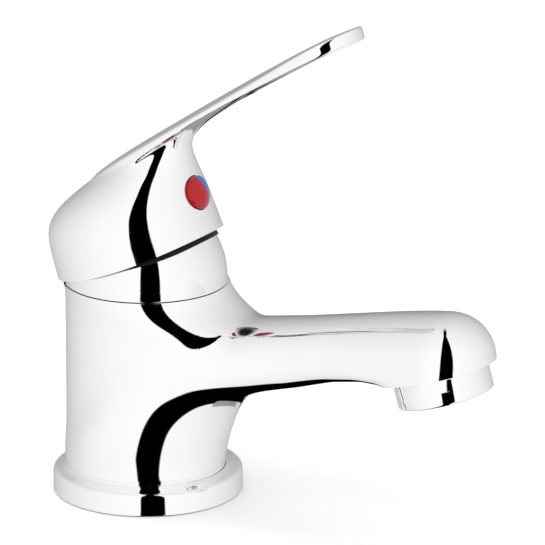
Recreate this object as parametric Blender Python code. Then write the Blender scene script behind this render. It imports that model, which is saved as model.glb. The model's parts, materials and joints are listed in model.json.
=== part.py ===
"""Single-lever basin mixer faucet, built as separate named pieces.

The spout and the lever point along -Y, +Z is up and the plane X = 0 is the
symmetry plane. The origin is on the column's axis, at the underside that rests
on the basin. The lever stands raised, which is the open position.
"""
from math import asin, cos, pi, radians, sin, sqrt, tan

import bmesh
import bpy
from mathutils import Matrix, Vector

MM = 0.001

# clearances
FIT_GAP = 0.3 * MM            # between pieces that rest on or in each other
RUN_GAP = 0.08 * MM           # between the pivot pin and the stem that turns on it
OVERSHOOT = 1.5 * MM          # how far a cutter runs past the face it opens

# column
COLUMN_RADIUS = 24.2 * MM     # at the seam under the dome cover
FOOT_RADIUS = COLUMN_RADIUS - 0.8 * MM      # at the base ring
FOOT_SHIFT = 1.2 * MM         # how far the foot's circle sits behind the axis
SEAM_HEIGHT = 64.8 * MM
NECK_RADIUS = 13.0 * MM       # rounding of the column's front, under the spout
FOOT_REACH = FOOT_RADIUS - NECK_RADIUS + 0.2 * MM    # of the front rounding's centre, at the foot
SPRING_REACH = COLUMN_RADIUS - 3.4 * MM              # where the spout springs from the column
SPRING_HEIGHT = 45.0 * MM
SHOULDER_REACH = COLUMN_RADIUS - 5.6 * MM
SHOULDER_DROP = 8.0 * MM      # from the seam down to the end of the sloping shoulder
SPIGOT_RADIUS = FOOT_RADIUS - 3.4 * MM    # short foot that passes through the base ring

# base ring and gasket
RING_RADIUS = FOOT_RADIUS + 5.1 * MM
RING_HEIGHT = 7.0 * MM
RING_EDGE = 1.2 * MM
RING_CROWN = 1.1 * MM         # how much the ring's top rises towards the column
RING_LEDGE = 3.6 * MM         # height of the ledge that the column stands on
GASKET_HEIGHT = 2.0 * MM
GASKET_INNER = SPIGOT_RADIUS + 2.0 * MM
GASKET_OUTER = RING_RADIUS - 1.5 * MM

# spout
SPOUT_START = 12.0 * MM
SPOUT_HALF_WIDTH = 13.6 * MM
SPOUT_RISE = 17.0 * MM        # height of the spout's tube
SPOUT_REACH = 97.3 * MM       # from the axis to the centre of the head's rim
RIM_HEIGHT = 51.3 * MM        # of that centre above the basin
RIM_RADIUS = 16.0 * MM
RIM_TILT = radians(15.9)      # the outlet leans away from the column
HEAD_HEIGHT = 67.6 * MM       # top of the spout's head
CHANNEL_RADIUS = 6.5 * MM
OUTLET_CORE_RADIUS = 2.3 * MM
CORE_WALL = 1.9 * MM          # between the cartridge's bore and the outlet's riser

# inlets and stud hole in the underside
INLET_RADIUS = 4.6 * MM
INLET_DEPTH = 15.0 * MM
PORT_X = 8.0 * MM
PORT_Y = 4.5 * MM
OUTLET_PORT_Y = -10.0 * MM
PORT_RADIUS = 3.0 * MM
STUD_RADIUS = 3.4 * MM
STUD_Y = -9.5 * MM
STUD_DEPTH = 14.0 * MM

# cartridge, from its seat upwards
SEAT_HEIGHT = SEAM_HEIGHT - 31.8 * MM
CARTRIDGE_RADIUS = 20.0 * MM
SEAL_PROUD = 0.5 * MM
SEAL_HEIGHT = 2.2 * MM
SEAL_OUTER = 4.3 * MM
BASE_HEIGHT = 4.7 * MM
BASE_SPIGOT = 2.0 * MM
SHELL_WALL = 2.2 * MM
LOWER_DISC_HEIGHT = 3.2 * MM
UPPER_DISC_HEIGHT = 3.2 * MM
UPPER_DISC_RADIUS = CARTRIDGE_RADIUS - 7.7 * MM
CARRIER_HEIGHT = 6.4 * MM
CARRIER_FLOOR = 1.6 * MM
FLANGE_HEIGHT = 2.4 * MM
SHELL_CEILING = 2.0 * MM
TURRET_RADIUS = CARTRIDGE_RADIUS - 5.7 * MM
TURRET_TOP = SEAM_HEIGHT + 8.2 * MM
SHELL_TOP = SEAM_HEIGHT + 4.2 * MM
NUT_RADIUS = CARTRIDGE_RADIUS + 1.6 * MM
NUT_HEAD_RADIUS = CARTRIDGE_RADIUS + 0.6 * MM
NUT_HEAD_HEIGHT = 3.6 * MM
KEY_THICKNESS = 2.0 * MM
KEY_LENGTH = 8.0 * MM

# pivot, stem and dome cover
PIVOT_HEIGHT = SEAM_HEIGHT + 1.5 * MM
LEVER_TILT = radians(17.6)    # of the raised lever against its level position
DOME_WALL = 1.6 * MM
DOME_RISE = 42.46 * MM - COLUMN_RADIUS    # a wider dome stops lower, to clear the sloping hood
PIN_RADIUS = 2.0 * MM
PIN_LENGTH = 2 * TURRET_RADIUS - 3.6 * MM
STEM_SIDE = 7.4 * MM
STEM_TOP = 27.5 * MM
HUB_RADIUS = 5.0 * MM
ARM_RADIUS = 2.1 * MM
BALL_RADIUS = 2.6 * MM

# lever, measured from the pivot with the lever level
HOOD_RADIUS = COLUMN_RADIUS + 2.0 * MM
HOOD_RIM = 6.8 * MM
HOOD_WALL = 2.4 * MM
NOSE_REACH = HOOD_RADIUS - 0.8 * MM        # the hood's front, where the index plug sits
BLADE_REACH = 91.5 * MM
BLADE_HALF_WIDTH = 12.5 * MM
BLADE_ROOT = 2.0 * MM         # where the blade starts inside the hood
BLADE_TOP = 58.0 * MM         # height of the blade's tip
BLADE_FOOT = 35.4 * MM        # height of the blade's line above the pivot
BLADE_SINK = 4.0 * MM         # how far the blade's root dips under the hood's top
BLADE_THICKNESS = 2.7 * MM
BLADE_CROWN = 2.8 * MM
BOSS_RADIUS = 7.0 * MM
BOSS_REACH = 11.0 * MM
BOSS_BOTTOM = 17.5 * MM
PLUG_HEIGHT = 21.1 * MM
PLUG_RADIUS = 5.0 * MM
PLUG_PROUD = 1.8 * MM
PLUG_SEAT = 0.9 * MM          # depth of the plug's seat in the nose
PLUG_SHANK = 3.4 * MM
SCREW_RADIUS = 2.4 * MM
SCREW_LENGTH = 6.0 * MM

# aerator, measured along its own axis from the head's rim
COLLAR_RADIUS = RIM_RADIUS - 1.8 * MM
COLLAR_HEIGHT = 7.7 * MM
THREAD_RADIUS = RIM_RADIUS - 4.0 * MM
THREAD_LENGTH = 7.0 * MM
AERATOR_WALL = 1.4 * MM
AERATOR_LIP = 1.2 * MM
WASHER_HEIGHT = 1.4 * MM
SCREEN_HEIGHT = 1.0 * MM
FLAT_DEPTH = 0.6 * MM
FLAT_TURN = radians(18.0)
JET_RADIUS = 1.1 * MM

ROUND_STEPS = 44
SMALL_STEPS = 20


# ---------------------------------------------------------------- helpers

def clear_scene():
    for thing in list(bpy.data.objects):
        bpy.data.objects.remove(thing, do_unlink=True)


def finish_material(name, color, roughness, metallic):
    mat = bpy.data.materials.get(name) or bpy.data.materials.new(name)
    mat.use_nodes = True
    shader = mat.node_tree.nodes["Principled BSDF"]
    shader.inputs["Base Color"].default_value = (*color, 1.0)
    shader.inputs["Roughness"].default_value = roughness
    shader.inputs["Metallic"].default_value = metallic
    return mat


def chrome():
    return finish_material("chrome", (0.80, 0.81, 0.82), 0.05, 1.0)


def brass():
    return finish_material("brass", (0.78, 0.57, 0.27), 0.35, 1.0)


def steel():
    return finish_material("steel", (0.62, 0.62, 0.63), 0.28, 1.0)


def rubber():
    return finish_material("rubber", (0.03, 0.03, 0.03), 0.7, 0.0)


def white_plastic():
    return finish_material("white_plastic", (0.82, 0.82, 0.80), 0.4, 0.0)


def grey_plastic():
    return finish_material("grey_plastic", (0.30, 0.31, 0.33), 0.45, 0.0)


def ceramic():
    return finish_material("ceramic", (0.90, 0.89, 0.86), 0.15, 0.0)


def red_plastic():
    return finish_material("red_plastic", (0.55, 0.02, 0.03), 0.25, 0.0)


def make_object(name, bm, mat=None, parent=None):
    """Close the bmesh into an object, shaded smooth apart from its sharp edges."""
    bmesh.ops.remove_doubles(bm, verts=bm.verts, dist=1e-7)
    bmesh.ops.recalc_face_normals(bm, faces=bm.faces)
    mesh = bpy.data.meshes.new(name)
    bm.to_mesh(mesh)
    bm.free()
    mesh.shade_smooth()
    mesh.set_sharp_from_angle(angle=radians(35))
    if mat:
        mesh.materials.append(mat)
    thing = bpy.data.objects.new(name, mesh)
    bpy.context.collection.objects.link(thing)
    thing.parent = parent
    return thing


def make_empty(name, location, rotation=(0.0, 0.0, 0.0), parent=None):
    empty = bpy.data.objects.new(name, None)
    empty.location = location
    empty.rotation_euler = rotation
    empty.parent = parent
    bpy.context.collection.objects.link(empty)
    return empty


def spun(profile, steps=ROUND_STEPS):
    """Spin an (r, z) outline about Z. An outline that starts and ends on the axis is a solid."""
    bm = bmesh.new()
    points = [bm.verts.new((r, 0.0, z)) for r, z in profile]
    edges = [bm.edges.new(pair) for pair in zip(points, points[1:])]
    if min(profile[0][0], profile[-1][0]) > 0.0:
        edges.append(bm.edges.new((points[-1], points[0])))
    bmesh.ops.spin(bm, geom=points + edges, cent=(0, 0, 0), axis=(0, 0, 1),
                   angle=2 * pi, steps=steps, use_merge=True, use_duplicate=False)
    return bm


def rod(radius, low, high, steps=SMALL_STEPS, x=0.0, y=0.0):
    """A round bar along Z."""
    bm = spun([(0.0, high), (radius, high), (radius, low), (0.0, low)], steps)
    bmesh.ops.translate(bm, verts=bm.verts, vec=(x, y, 0.0))
    return bm


def tube(outer, inner, low, high, steps=ROUND_STEPS):
    return spun([(outer, high), (outer, low), (inner, low), (inner, high)], steps)


def block(low, high):
    """A box between two corners."""
    bm = bmesh.new()
    bmesh.ops.create_cube(bm, size=1.0)
    size = Vector(high) - Vector(low)
    middle = (Vector(high) + Vector(low)) / 2
    bmesh.ops.transform(bm, matrix=Matrix.Translation(middle) @ Matrix.Diagonal((*size, 1.0)),
                        verts=bm.verts)
    return bm


def lofted(sections):
    """Join closed outlines of equal length into a solid with flat ends."""
    bm = bmesh.new()
    loops = []
    for section in sections:
        points = [bm.verts.new(point) for point in section]
        edges = [bm.edges.new(pair) for pair in zip(points, points[1:] + points[:1])]
        loops.append((points, edges))
    bm.faces.new(loops[0][0])
    bm.faces.new(loops[-1][0])
    for (first, _), (second, _) in zip(loops, loops[1:]):
        for i, point in enumerate(first):
            j = (i + 1) % len(first)
            bm.faces.new((point, first[j], second[j], second[i]))
    return bm


def turned(bm, matrix):
    bmesh.ops.transform(bm, matrix=matrix, verts=bm.verts)
    return bm


def along_x(bm):
    """Lay a piece made along Z along X."""
    return turned(bm, Matrix.Rotation(pi / 2, 4, "Y"))


def forward(bm):
    """Lay a piece made along Z so that it points along -Y."""
    return turned(bm, Matrix.Rotation(pi / 2, 4, "X"))


def tool(bm, target, operation="DIFFERENCE", parent=None):
    """A hidden helper solid, used by a Boolean on the target."""
    name = f"{target.name}_tool_{len(target.modifiers)}"
    helper = make_object(name, bm, parent=parent or target.parent)
    helper.hide_render = True
    helper.display_type = "WIRE"
    change = target.modifiers.new(name, "BOOLEAN")
    change.operation = operation
    change.solver = "EXACT"
    change.object = helper
    return helper


def between(value, stops):
    """Read a height off straight lines drawn through (place, height) stops."""
    if value <= stops[0][0]:
        return stops[0][1]
    for (x0, y0), (x1, y1) in zip(stops, stops[1:]):
        if value <= x1:
            return y0 + (y1 - y0) * (value - x0) / (x1 - x0)
    return stops[-1][1]


def spaced(low, high, count):
    return [low + (high - low) * i / (count - 1) for i in range(count)]


# ---------------------------------------------------------------- body

def column_outline(height, grow=0.0):
    """The column's level outline: a circle drawn forward round a smaller one."""
    share = height / SEAM_HEIGHT
    radius = FOOT_RADIUS + (COLUMN_RADIUS - FOOT_RADIUS) * share + grow
    nose = NECK_RADIUS + grow
    back = FOOT_SHIFT * (1.0 - share)
    reach = between(height, [(RING_LEDGE, FOOT_REACH), (SPRING_HEIGHT, SPRING_REACH),
                             (SEAM_HEIGHT - SHOULDER_DROP, SHOULDER_REACH),
                             (SEAM_HEIGHT, COLUMN_RADIUS - NECK_RADIUS)])
    spread = reach + back
    lean = asin(min(1.0, (radius - nose) / spread))
    points = []
    for i in range(ROUND_STEPS):
        turn = 2 * pi * (i + 0.5) / ROUND_STEPS
        front = cos(turn) > sin(lean)
        r = nose if front else radius
        centre = -reach if front else back
        points.append((r * sin(turn), centre - r * cos(turn), height))
    return points


def spout_top(reach):
    """Height of the spout's top: a straight rise that rolls over at the head."""
    spring_top = SPRING_HEIGHT + SPOUT_RISE / 2
    crest = SPOUT_REACH - 5.0 * MM
    if reach <= crest:
        return spring_top + (HEAD_HEIGHT - spring_top) * (reach / crest) ** 1.15
    nose = SPOUT_REACH + RIM_RADIUS - crest
    fall = HEAD_HEIGHT - RIM_HEIGHT + 2.0 * MM
    share = min(1.0, (reach - crest) / nose)
    return HEAD_HEIGHT - fall * (1.0 - sqrt(1.0 - share ** 2.4))


def spout_bottom(reach):
    """Height of the spout's underside, which falls below the rim's plane at the head."""
    return between(reach, [(0.0, SPRING_HEIGHT - SPOUT_RISE / 2),
                           (36.0 * MM, SPRING_HEIGHT - SPOUT_RISE / 2 + 0.5 * MM),
                           (53.0 * MM, 40.6 * MM), (72.0 * MM, 45.4 * MM),
                           (82.0 * MM, 46.0 * MM), (SPOUT_REACH, 44.0 * MM)])


def spout_half_width(reach):
    if reach >= SPOUT_REACH:
        return sqrt(max(0.0, RIM_RADIUS ** 2 - (reach - SPOUT_REACH) ** 2))
    return between(reach, [(SPOUT_START, SPOUT_HALF_WIDTH), (62.0 * MM, SPOUT_HALF_WIDTH),
                           (84.0 * MM, 15.1 * MM), (SPOUT_REACH, RIM_RADIUS)])


def spout_section(reach):
    """An upright section of the spout: a squarish oval."""
    top = spout_top(reach)
    low = min(spout_bottom(reach), top - 0.5 * MM)
    width = max(spout_half_width(reach), 0.6 * MM)
    points = []
    for i in range(SMALL_STEPS + 12):
        turn = 2 * pi * (i + 0.5) / (SMALL_STEPS + 12)
        c = abs(cos(turn)) ** 0.8 * (1 if cos(turn) > 0 else -1)
        s = abs(sin(turn)) ** 0.8 * (1 if sin(turn) > 0 else -1)
        points.append((width * c, -reach, (top + low) / 2 + (top - low) / 2 * s))
    return points


def core_path(points, radius, steps=12):
    """A round core in the symmetry plane that follows the points, mitred at each bend."""
    path = [Vector((0.0, y, z)) for y, z in points]
    runs = [(end - start).normalized() for start, end in zip(path, path[1:])]
    side = Vector((1.0, 0.0, 0.0))
    sections = []
    for i, point in enumerate(path):
        before = runs[max(i - 1, 0)]
        after = runs[min(i, len(runs) - 1)]
        along = (before + after).normalized()
        across = along.cross(side) / along.dot(after)
        sections.append([point + radius * (cos(2 * pi * k / steps) * side
                                           + sin(2 * pi * k / steps) * across)
                         for k in range(steps)])
    return lofted(sections)


def build_body(rim_frame):
    """The cast body: column, spout, cartridge bore, water ways and threaded holes."""
    heights = [RING_LEDGE + FIT_GAP] + spaced(10.0 * MM, SPRING_HEIGHT, 6)
    heights += spaced(SPRING_HEIGHT, SEAM_HEIGHT - SHOULDER_DROP, 3)[1:] + [SEAM_HEIGHT]
    body = make_object("body", lofted([column_outline(h) for h in heights]), chrome())
    stations = spaced(SPOUT_START, SPOUT_REACH - 5.0 * MM, 9)
    stations += [SPOUT_REACH + RIM_RADIUS * s for s in (0.0, 0.35, 0.6, 0.78, 0.9, 0.97, 0.995)]
    tool(lofted([spout_section(s) for s in stations]), body, "UNION")
    tool(rod(SPIGOT_RADIUS, 0.0, RING_LEDGE + OVERSHOOT, ROUND_STEPS), body, "UNION")

    # the flat rim that the aerator's collar comes up to
    wide = 2 * RIM_RADIUS
    tool(block((-wide, -wide, -wide), (wide, wide * 0.72, 0.0)), body, parent=rim_frame)
    depth = THREAD_LENGTH + WASHER_HEIGHT + 2 * FIT_GAP
    tool(rod(THREAD_RADIUS + FIT_GAP, -OVERSHOOT, depth, 40), body, parent=rim_frame)

    # the cartridge's bore, wider at the top for its nut
    bore = CARTRIDGE_RADIUS + FIT_GAP
    tool(rod(bore, SEAT_HEIGHT, SEAM_HEIGHT + OVERSHOOT, ROUND_STEPS), body)
    shoulder = cartridge_levels()["shoulder"]
    tool(rod(NUT_RADIUS + FIT_GAP, shoulder, SEAM_HEIGHT + OVERSHOOT, ROUND_STEPS), body)

    # the outlet's way: down from the seat, forward, and up in front of the bore
    sump = SEAT_HEIGHT - 6.5 * MM
    wall_end = bore + CORE_WALL
    riser = wall_end + OUTLET_CORE_RADIUS
    tool(core_path([(OUTLET_PORT_Y, SEAT_HEIGHT + OVERSHOOT), (OUTLET_PORT_Y, sump),
                    (-riser, sump), (-riser, spout_channel_height(riser) + OVERSHOOT)],
                   OUTLET_CORE_RADIUS), body)
    channel = spaced(wall_end, SPOUT_REACH, 5)
    tool(lofted([channel_section(s, wall_end) for s in channel]), body)

    # inlets and stud hole, from below
    for side in (-1, 1):
        tool(rod(INLET_RADIUS, -OVERSHOOT, INLET_DEPTH, x=side * PORT_X, y=PORT_Y), body)
        tool(rod(PORT_RADIUS, INLET_DEPTH - OVERSHOOT, SEAT_HEIGHT + OVERSHOOT,
                 x=side * PORT_X, y=PORT_Y), body)
    tool(rod(STUD_RADIUS, -OVERSHOOT, STUD_DEPTH, y=STUD_Y), body)
    return body


def spout_channel_height(reach):
    return (spout_top(reach) + spout_bottom(reach)) / 2


def channel_section(reach, start):
    """The water way in the spout, which widens from the riser to the aerator's bore."""
    share = min(1.0, (reach - start) / (14.0 * MM))
    radius = OUTLET_CORE_RADIUS + (CHANNEL_RADIUS - OUTLET_CORE_RADIUS) * share
    high = min(radius, 5.2 * MM)
    middle = spout_channel_height(min(reach, 86.0 * MM)) + 1.0 * MM
    steps = 16
    return [(radius * cos(2 * pi * i / steps), -reach, middle + high * sin(2 * pi * i / steps))
            for i in range(steps)]


# ---------------------------------------------------------------- base

def build_base():
    """The ring that the column stands in, and the gasket in its underside."""
    hole = SPIGOT_RADIUS + 2 * FIT_GAP
    groove = GASKET_HEIGHT + FIT_GAP
    edge = [(RING_RADIUS - RING_EDGE * (1 - cos(a)), RING_HEIGHT - RING_EDGE * (1 - sin(a)))
            for a in spaced(pi / 2, 0.0, 4)]
    outline = [(hole, RING_HEIGHT + RING_CROWN)] + edge + [
        (RING_RADIUS, FIT_GAP), (GASKET_OUTER + FIT_GAP, FIT_GAP), (GASKET_OUTER + FIT_GAP, groove),
        (GASKET_INNER - FIT_GAP, groove), (GASKET_INNER - FIT_GAP, FIT_GAP), (hole, FIT_GAP)]
    ring = make_object("base_ring", spun(outline, ROUND_STEPS + 8), chrome())
    socket = (RING_LEDGE, RING_HEIGHT + OVERSHOOT)
    tool(lofted([column_outline(h, FIT_GAP) for h in socket]), ring)
    make_object("base_gasket", tube(GASKET_OUTER, GASKET_INNER, 0.0, GASKET_HEIGHT), rubber())


# ---------------------------------------------------------------- cartridge

def cartridge_levels():
    """Heights of the cartridge's pieces, each resting on the one below."""
    level = {"base": SEAT_HEIGHT + FIT_GAP + SEAL_PROUD}
    level["base_top"] = level["base"] + BASE_HEIGHT
    level["lower_disc"] = level["base_top"] + BASE_SPIGOT + FIT_GAP
    level["upper_disc"] = level["lower_disc"] + LOWER_DISC_HEIGHT + FIT_GAP
    level["carrier"] = level["upper_disc"] + UPPER_DISC_HEIGHT + FIT_GAP
    level["flange"] = level["carrier"] + CARRIER_HEIGHT + FIT_GAP
    level["ceiling"] = level["flange"] + FLANGE_HEIGHT + FIT_GAP
    level["shoulder"] = level["ceiling"] + SHELL_CEILING
    level["nut"] = level["shoulder"] + FIT_GAP
    return level


def ports():
    return [(-PORT_X, PORT_Y), (PORT_X, PORT_Y), (0.0, OUTLET_PORT_Y)]


def arm_length():
    """From the pivot down to the stem's ball, which sits in the carrier's pocket."""
    level = cartridge_levels()
    return PIVOT_HEIGHT - (level["carrier"] + CARRIER_FLOOR + BALL_RADIUS + FIT_GAP)


def disc_offset():
    """How far forward the raised lever holds the disc and its carrier."""
    return arm_length() * sin(LEVER_TILT)


def build_cartridge_shell():
    """Seals, base, lower disc, housing and nut: the pieces that stay with the body."""
    level = cartridge_levels()
    inner = CARTRIDGE_RADIUS - SHELL_WALL
    low = level["base"]
    for name, (x, y) in zip(("seal_hot", "seal_cold", "seal_outlet"), ports()):
        seal = tube(SEAL_OUTER, PORT_RADIUS, low - SEAL_PROUD, low - SEAL_PROUD + SEAL_HEIGHT, 20)
        bmesh.ops.translate(seal, verts=seal.verts, vec=(x, y, 0.0))
        make_object(name, seal, rubber())

    outline = [(0.0, level["base_top"] + BASE_SPIGOT),
               (inner - FIT_GAP, level["base_top"] + BASE_SPIGOT),
               (inner - FIT_GAP, level["base_top"]), (CARTRIDGE_RADIUS, level["base_top"]),
               (CARTRIDGE_RADIUS, low), (0.0, low)]
    base = make_object("cartridge_base", spun(outline, 40), grey_plastic())
    socket = SEAL_HEIGHT - SEAL_PROUD + FIT_GAP
    disc = make_object("lower_ceramic_disc",
                       rod(inner - FIT_GAP, level["lower_disc"],
                           level["lower_disc"] + LOWER_DISC_HEIGHT, 40), ceramic())
    for x, y in ports():
        tool(rod(PORT_RADIUS, low - OVERSHOOT, level["lower_disc"], 12, x, y), base)
        tool(rod(SEAL_OUTER + FIT_GAP, low - OVERSHOOT, low + socket, 20, x, y), base)
        tool(rod(PORT_RADIUS, low, level["upper_disc"] + OVERSHOOT, 12, x, y), disc)

    neck = TURRET_RADIUS + FIT_GAP
    shell = [(neck + SHELL_WALL, SHELL_TOP), (neck + SHELL_WALL, level["shoulder"]),
             (CARTRIDGE_RADIUS, level["shoulder"]),
             (CARTRIDGE_RADIUS, level["base_top"] + FIT_GAP),
             (inner, level["base_top"] + FIT_GAP), (inner, level["ceiling"]),
             (neck, level["ceiling"]), (neck, SHELL_TOP)]
    make_object("cartridge_housing", spun(shell, 40), grey_plastic())

    collar = SEAM_HEIGHT + FIT_GAP
    hole = neck + SHELL_WALL + FIT_GAP
    nut = [(NUT_HEAD_RADIUS, collar + NUT_HEAD_HEIGHT), (NUT_HEAD_RADIUS, collar),
           (NUT_RADIUS, collar - 0.5 * MM), (NUT_RADIUS, level["nut"]), (hole, level["nut"]),
           (hole, collar + NUT_HEAD_HEIGHT)]
    nut_ring = make_object("cartridge_nut", spun(nut, 40), brass())
    for i in range(3):
        slot = block((-NUT_RADIUS * 1.2, -1.6 * MM, collar + 1.2 * MM),
                     (NUT_RADIUS * 1.2, 1.6 * MM, collar + NUT_HEAD_HEIGHT + OVERSHOOT))
        tool(turned(slot, Matrix.Rotation(i * pi / 3, 4, "Z")), nut_ring)


def build_dome():
    """The ball-shaped cover round the pivot, and the ring that steadies it on the nut."""
    outer = COLUMN_RADIUS
    inner = COLUMN_RADIUS - DOME_WALL
    start = SEAM_HEIGHT + FIT_GAP - PIVOT_HEIGHT

    def arc(radius, drop):
        first = asin(drop / radius)
        last = asin(DOME_RISE / COLUMN_RADIUS)
        return [(radius * cos(a), PIVOT_HEIGHT + radius * sin(a)) for a in spaced(first, last, 7)]

    outline = list(reversed(arc(outer, start))) + arc(inner, start)
    make_object("dome_cover", spun(outline), chrome())
    low = SEAM_HEIGHT + 2 * FIT_GAP
    slack = sqrt((inner - FIT_GAP) ** 2 - (NUT_HEAD_HEIGHT + low - PIVOT_HEIGHT) ** 2)
    make_object("dome_seat_ring", tube(slack, NUT_HEAD_RADIUS + FIT_GAP, low,
                                       low + NUT_HEAD_HEIGHT * 0.8, 40), white_plastic())


def build_turret(axis):
    """The piece that turns with the lever, its pin, and the keys that guide the carrier."""
    level = cartridge_levels()
    wide = CARTRIDGE_RADIUS - SHELL_WALL - FIT_GAP
    top = level["flange"] + FLANGE_HEIGHT
    outline = [(0.0, TURRET_TOP), (TURRET_RADIUS, TURRET_TOP), (TURRET_RADIUS, top), (wide, top),
               (wide, level["flange"]), (0.0, level["flange"])]
    turret = make_object("cartridge_turret", spun(outline, 40), white_plastic(), axis)
    key = key_place()
    for side in (-1, 1):
        ends = sorted((side * key, side * (key + KEY_THICKNESS)))
        tool(block((ends[0], -KEY_LENGTH / 2, level["carrier"] + 1.2 * MM),
                   (ends[1], KEY_LENGTH / 2, level["flange"] + 1.0 * MM)), turret, "UNION")
    swing = STEM_SIDE / 2 / cos(LEVER_TILT) + (TURRET_TOP - PIVOT_HEIGHT) * tan(LEVER_TILT)
    swing = max(swing, HUB_RADIUS) + 2 * FIT_GAP
    slot = HUB_RADIUS * 0.9 + FIT_GAP
    tool(block((-slot, -swing, level["flange"] - OVERSHOOT),
               (slot, swing, TURRET_TOP + OVERSHOOT)), turret)
    hole = along_x(rod(PIN_RADIUS + FIT_GAP, -TURRET_RADIUS * 1.2, TURRET_RADIUS * 1.2, 16))
    bmesh.ops.translate(hole, verts=hole.verts, vec=(0, 0, PIVOT_HEIGHT))
    tool(hole, turret)

    pin = along_x(rod(PIN_RADIUS, -PIN_LENGTH / 2, PIN_LENGTH / 2, 16))
    bmesh.ops.translate(pin, verts=pin.verts, vec=(0, 0, PIVOT_HEIGHT))
    make_object("pivot_pin", pin, steel(), axis)


def key_place():
    """Half the width between the carrier's flats, and the gap to the turret's keys."""
    return UPPER_DISC_RADIUS * 0.80


def build_sliding_disc(axis):
    """The upper disc with its mixing hollow, and the carrier that the stem's ball pushes."""
    level = cartridge_levels()
    slide = make_empty("disc_slide", (0.0, -disc_offset(), 0.0), parent=axis)
    disc = make_object("upper_ceramic_disc",
                       rod(UPPER_DISC_RADIUS, level["upper_disc"],
                           level["upper_disc"] + UPPER_DISC_HEIGHT, 40), ceramic(), slide)
    hollow = UPPER_DISC_HEIGHT * 0.55
    tool(rod(UPPER_DISC_RADIUS * 0.6, level["upper_disc"] - OVERSHOOT,
             level["upper_disc"] + hollow, 24), disc)

    carrier = make_object("disc_carrier",
                          rod(UPPER_DISC_RADIUS, level["carrier"],
                              level["carrier"] + CARRIER_HEIGHT, 40), grey_plastic(), slide)
    flat = key_place() - FIT_GAP
    for side in (-1, 1):
        ends = sorted((side * flat, side * 2 * flat))
        tool(block((ends[0], -2 * flat, level["carrier"] - OVERSHOOT),
                   (ends[1], 2 * flat, level["carrier"] + CARRIER_HEIGHT + OVERSHOOT)), carrier)
    pocket = BALL_RADIUS + FIT_GAP
    tool(block((-pocket, -pocket, level["carrier"] + CARRIER_FLOOR),
               (pocket, pocket, level["carrier"] + CARRIER_HEIGHT + OVERSHOOT)), carrier)


# ---------------------------------------------------------------- lever

def hood_section(height, inset):
    """A level circle of the hood. Its back draws in as the sloping top is reached."""
    rise = [(HOOD_RIM, -HOOD_RADIUS), (12.0 * MM, -HOOD_RADIUS - 0.4 * MM),
            (17.0 * MM, 0.8 * MM - HOOD_RADIUS), (20.0 * MM, 2.6 * MM - HOOD_RADIUS),
            (23.0 * MM, 5.6 * MM - HOOD_RADIUS),
            (27.0 * MM, -14.6 * MM), (31.0 * MM, -6.6 * MM), (35.0 * MM, 3.0 * MM),
            (39.0 * MM, 14.0 * MM)]
    back = between(height, rise) + inset
    front = NOSE_REACH + (HOOD_RADIUS - NOSE_REACH) * max(0.0, 1 - height / (24 * MM)) - inset
    radius = max(0.5 * MM, (front - back) / 2)
    middle = (front + back) / 2
    return [(radius * sin(2 * pi * i / ROUND_STEPS),
             -middle - radius * cos(2 * pi * i / ROUND_STEPS), height)
            for i in range(ROUND_STEPS)]


def blade_top(reach):
    """Height of the blade's crest: a straight rise that levels out at the tip."""
    share = reach / BLADE_REACH
    sunk = BLADE_SINK * max(0.0, 1 - reach / HOOD_RADIUS) ** 2
    rise = BLADE_TOP - BLADE_FOOT
    return BLADE_FOOT + rise * (1.14 * share - 0.14 * share ** 4) - sunk


def blade_section(reach):
    """An upright section of the blade: a thin plate, arched across its width."""
    straight = BLADE_REACH - BLADE_HALF_WIDTH
    past = min(0.995, max(0.0, (reach - straight) / BLADE_HALF_WIDTH))
    width = BLADE_HALF_WIDTH * sqrt(1 - past * past)
    crown = BLADE_CROWN * (width / BLADE_HALF_WIDTH) ** 2 * (1 - 0.6 * reach / BLADE_REACH)
    thick = between(reach, [(0.0, 2.6 * BLADE_THICKNESS), (30.0 * MM, 1.6 * BLADE_THICKNESS),
                            (48.0 * MM, BLADE_THICKNESS), (BLADE_REACH, BLADE_THICKNESS)])
    top = blade_top(reach)
    across = spaced(-1.0, 1.0, 9)
    upper = [(width * s, -reach, top - crown * s * s) for s in across]
    lower = [(width * s * 0.94, -reach, top - crown * s * s - thick * (1 - 0.35 * s * s))
             for s in reversed(across)]
    return upper + lower


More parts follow.
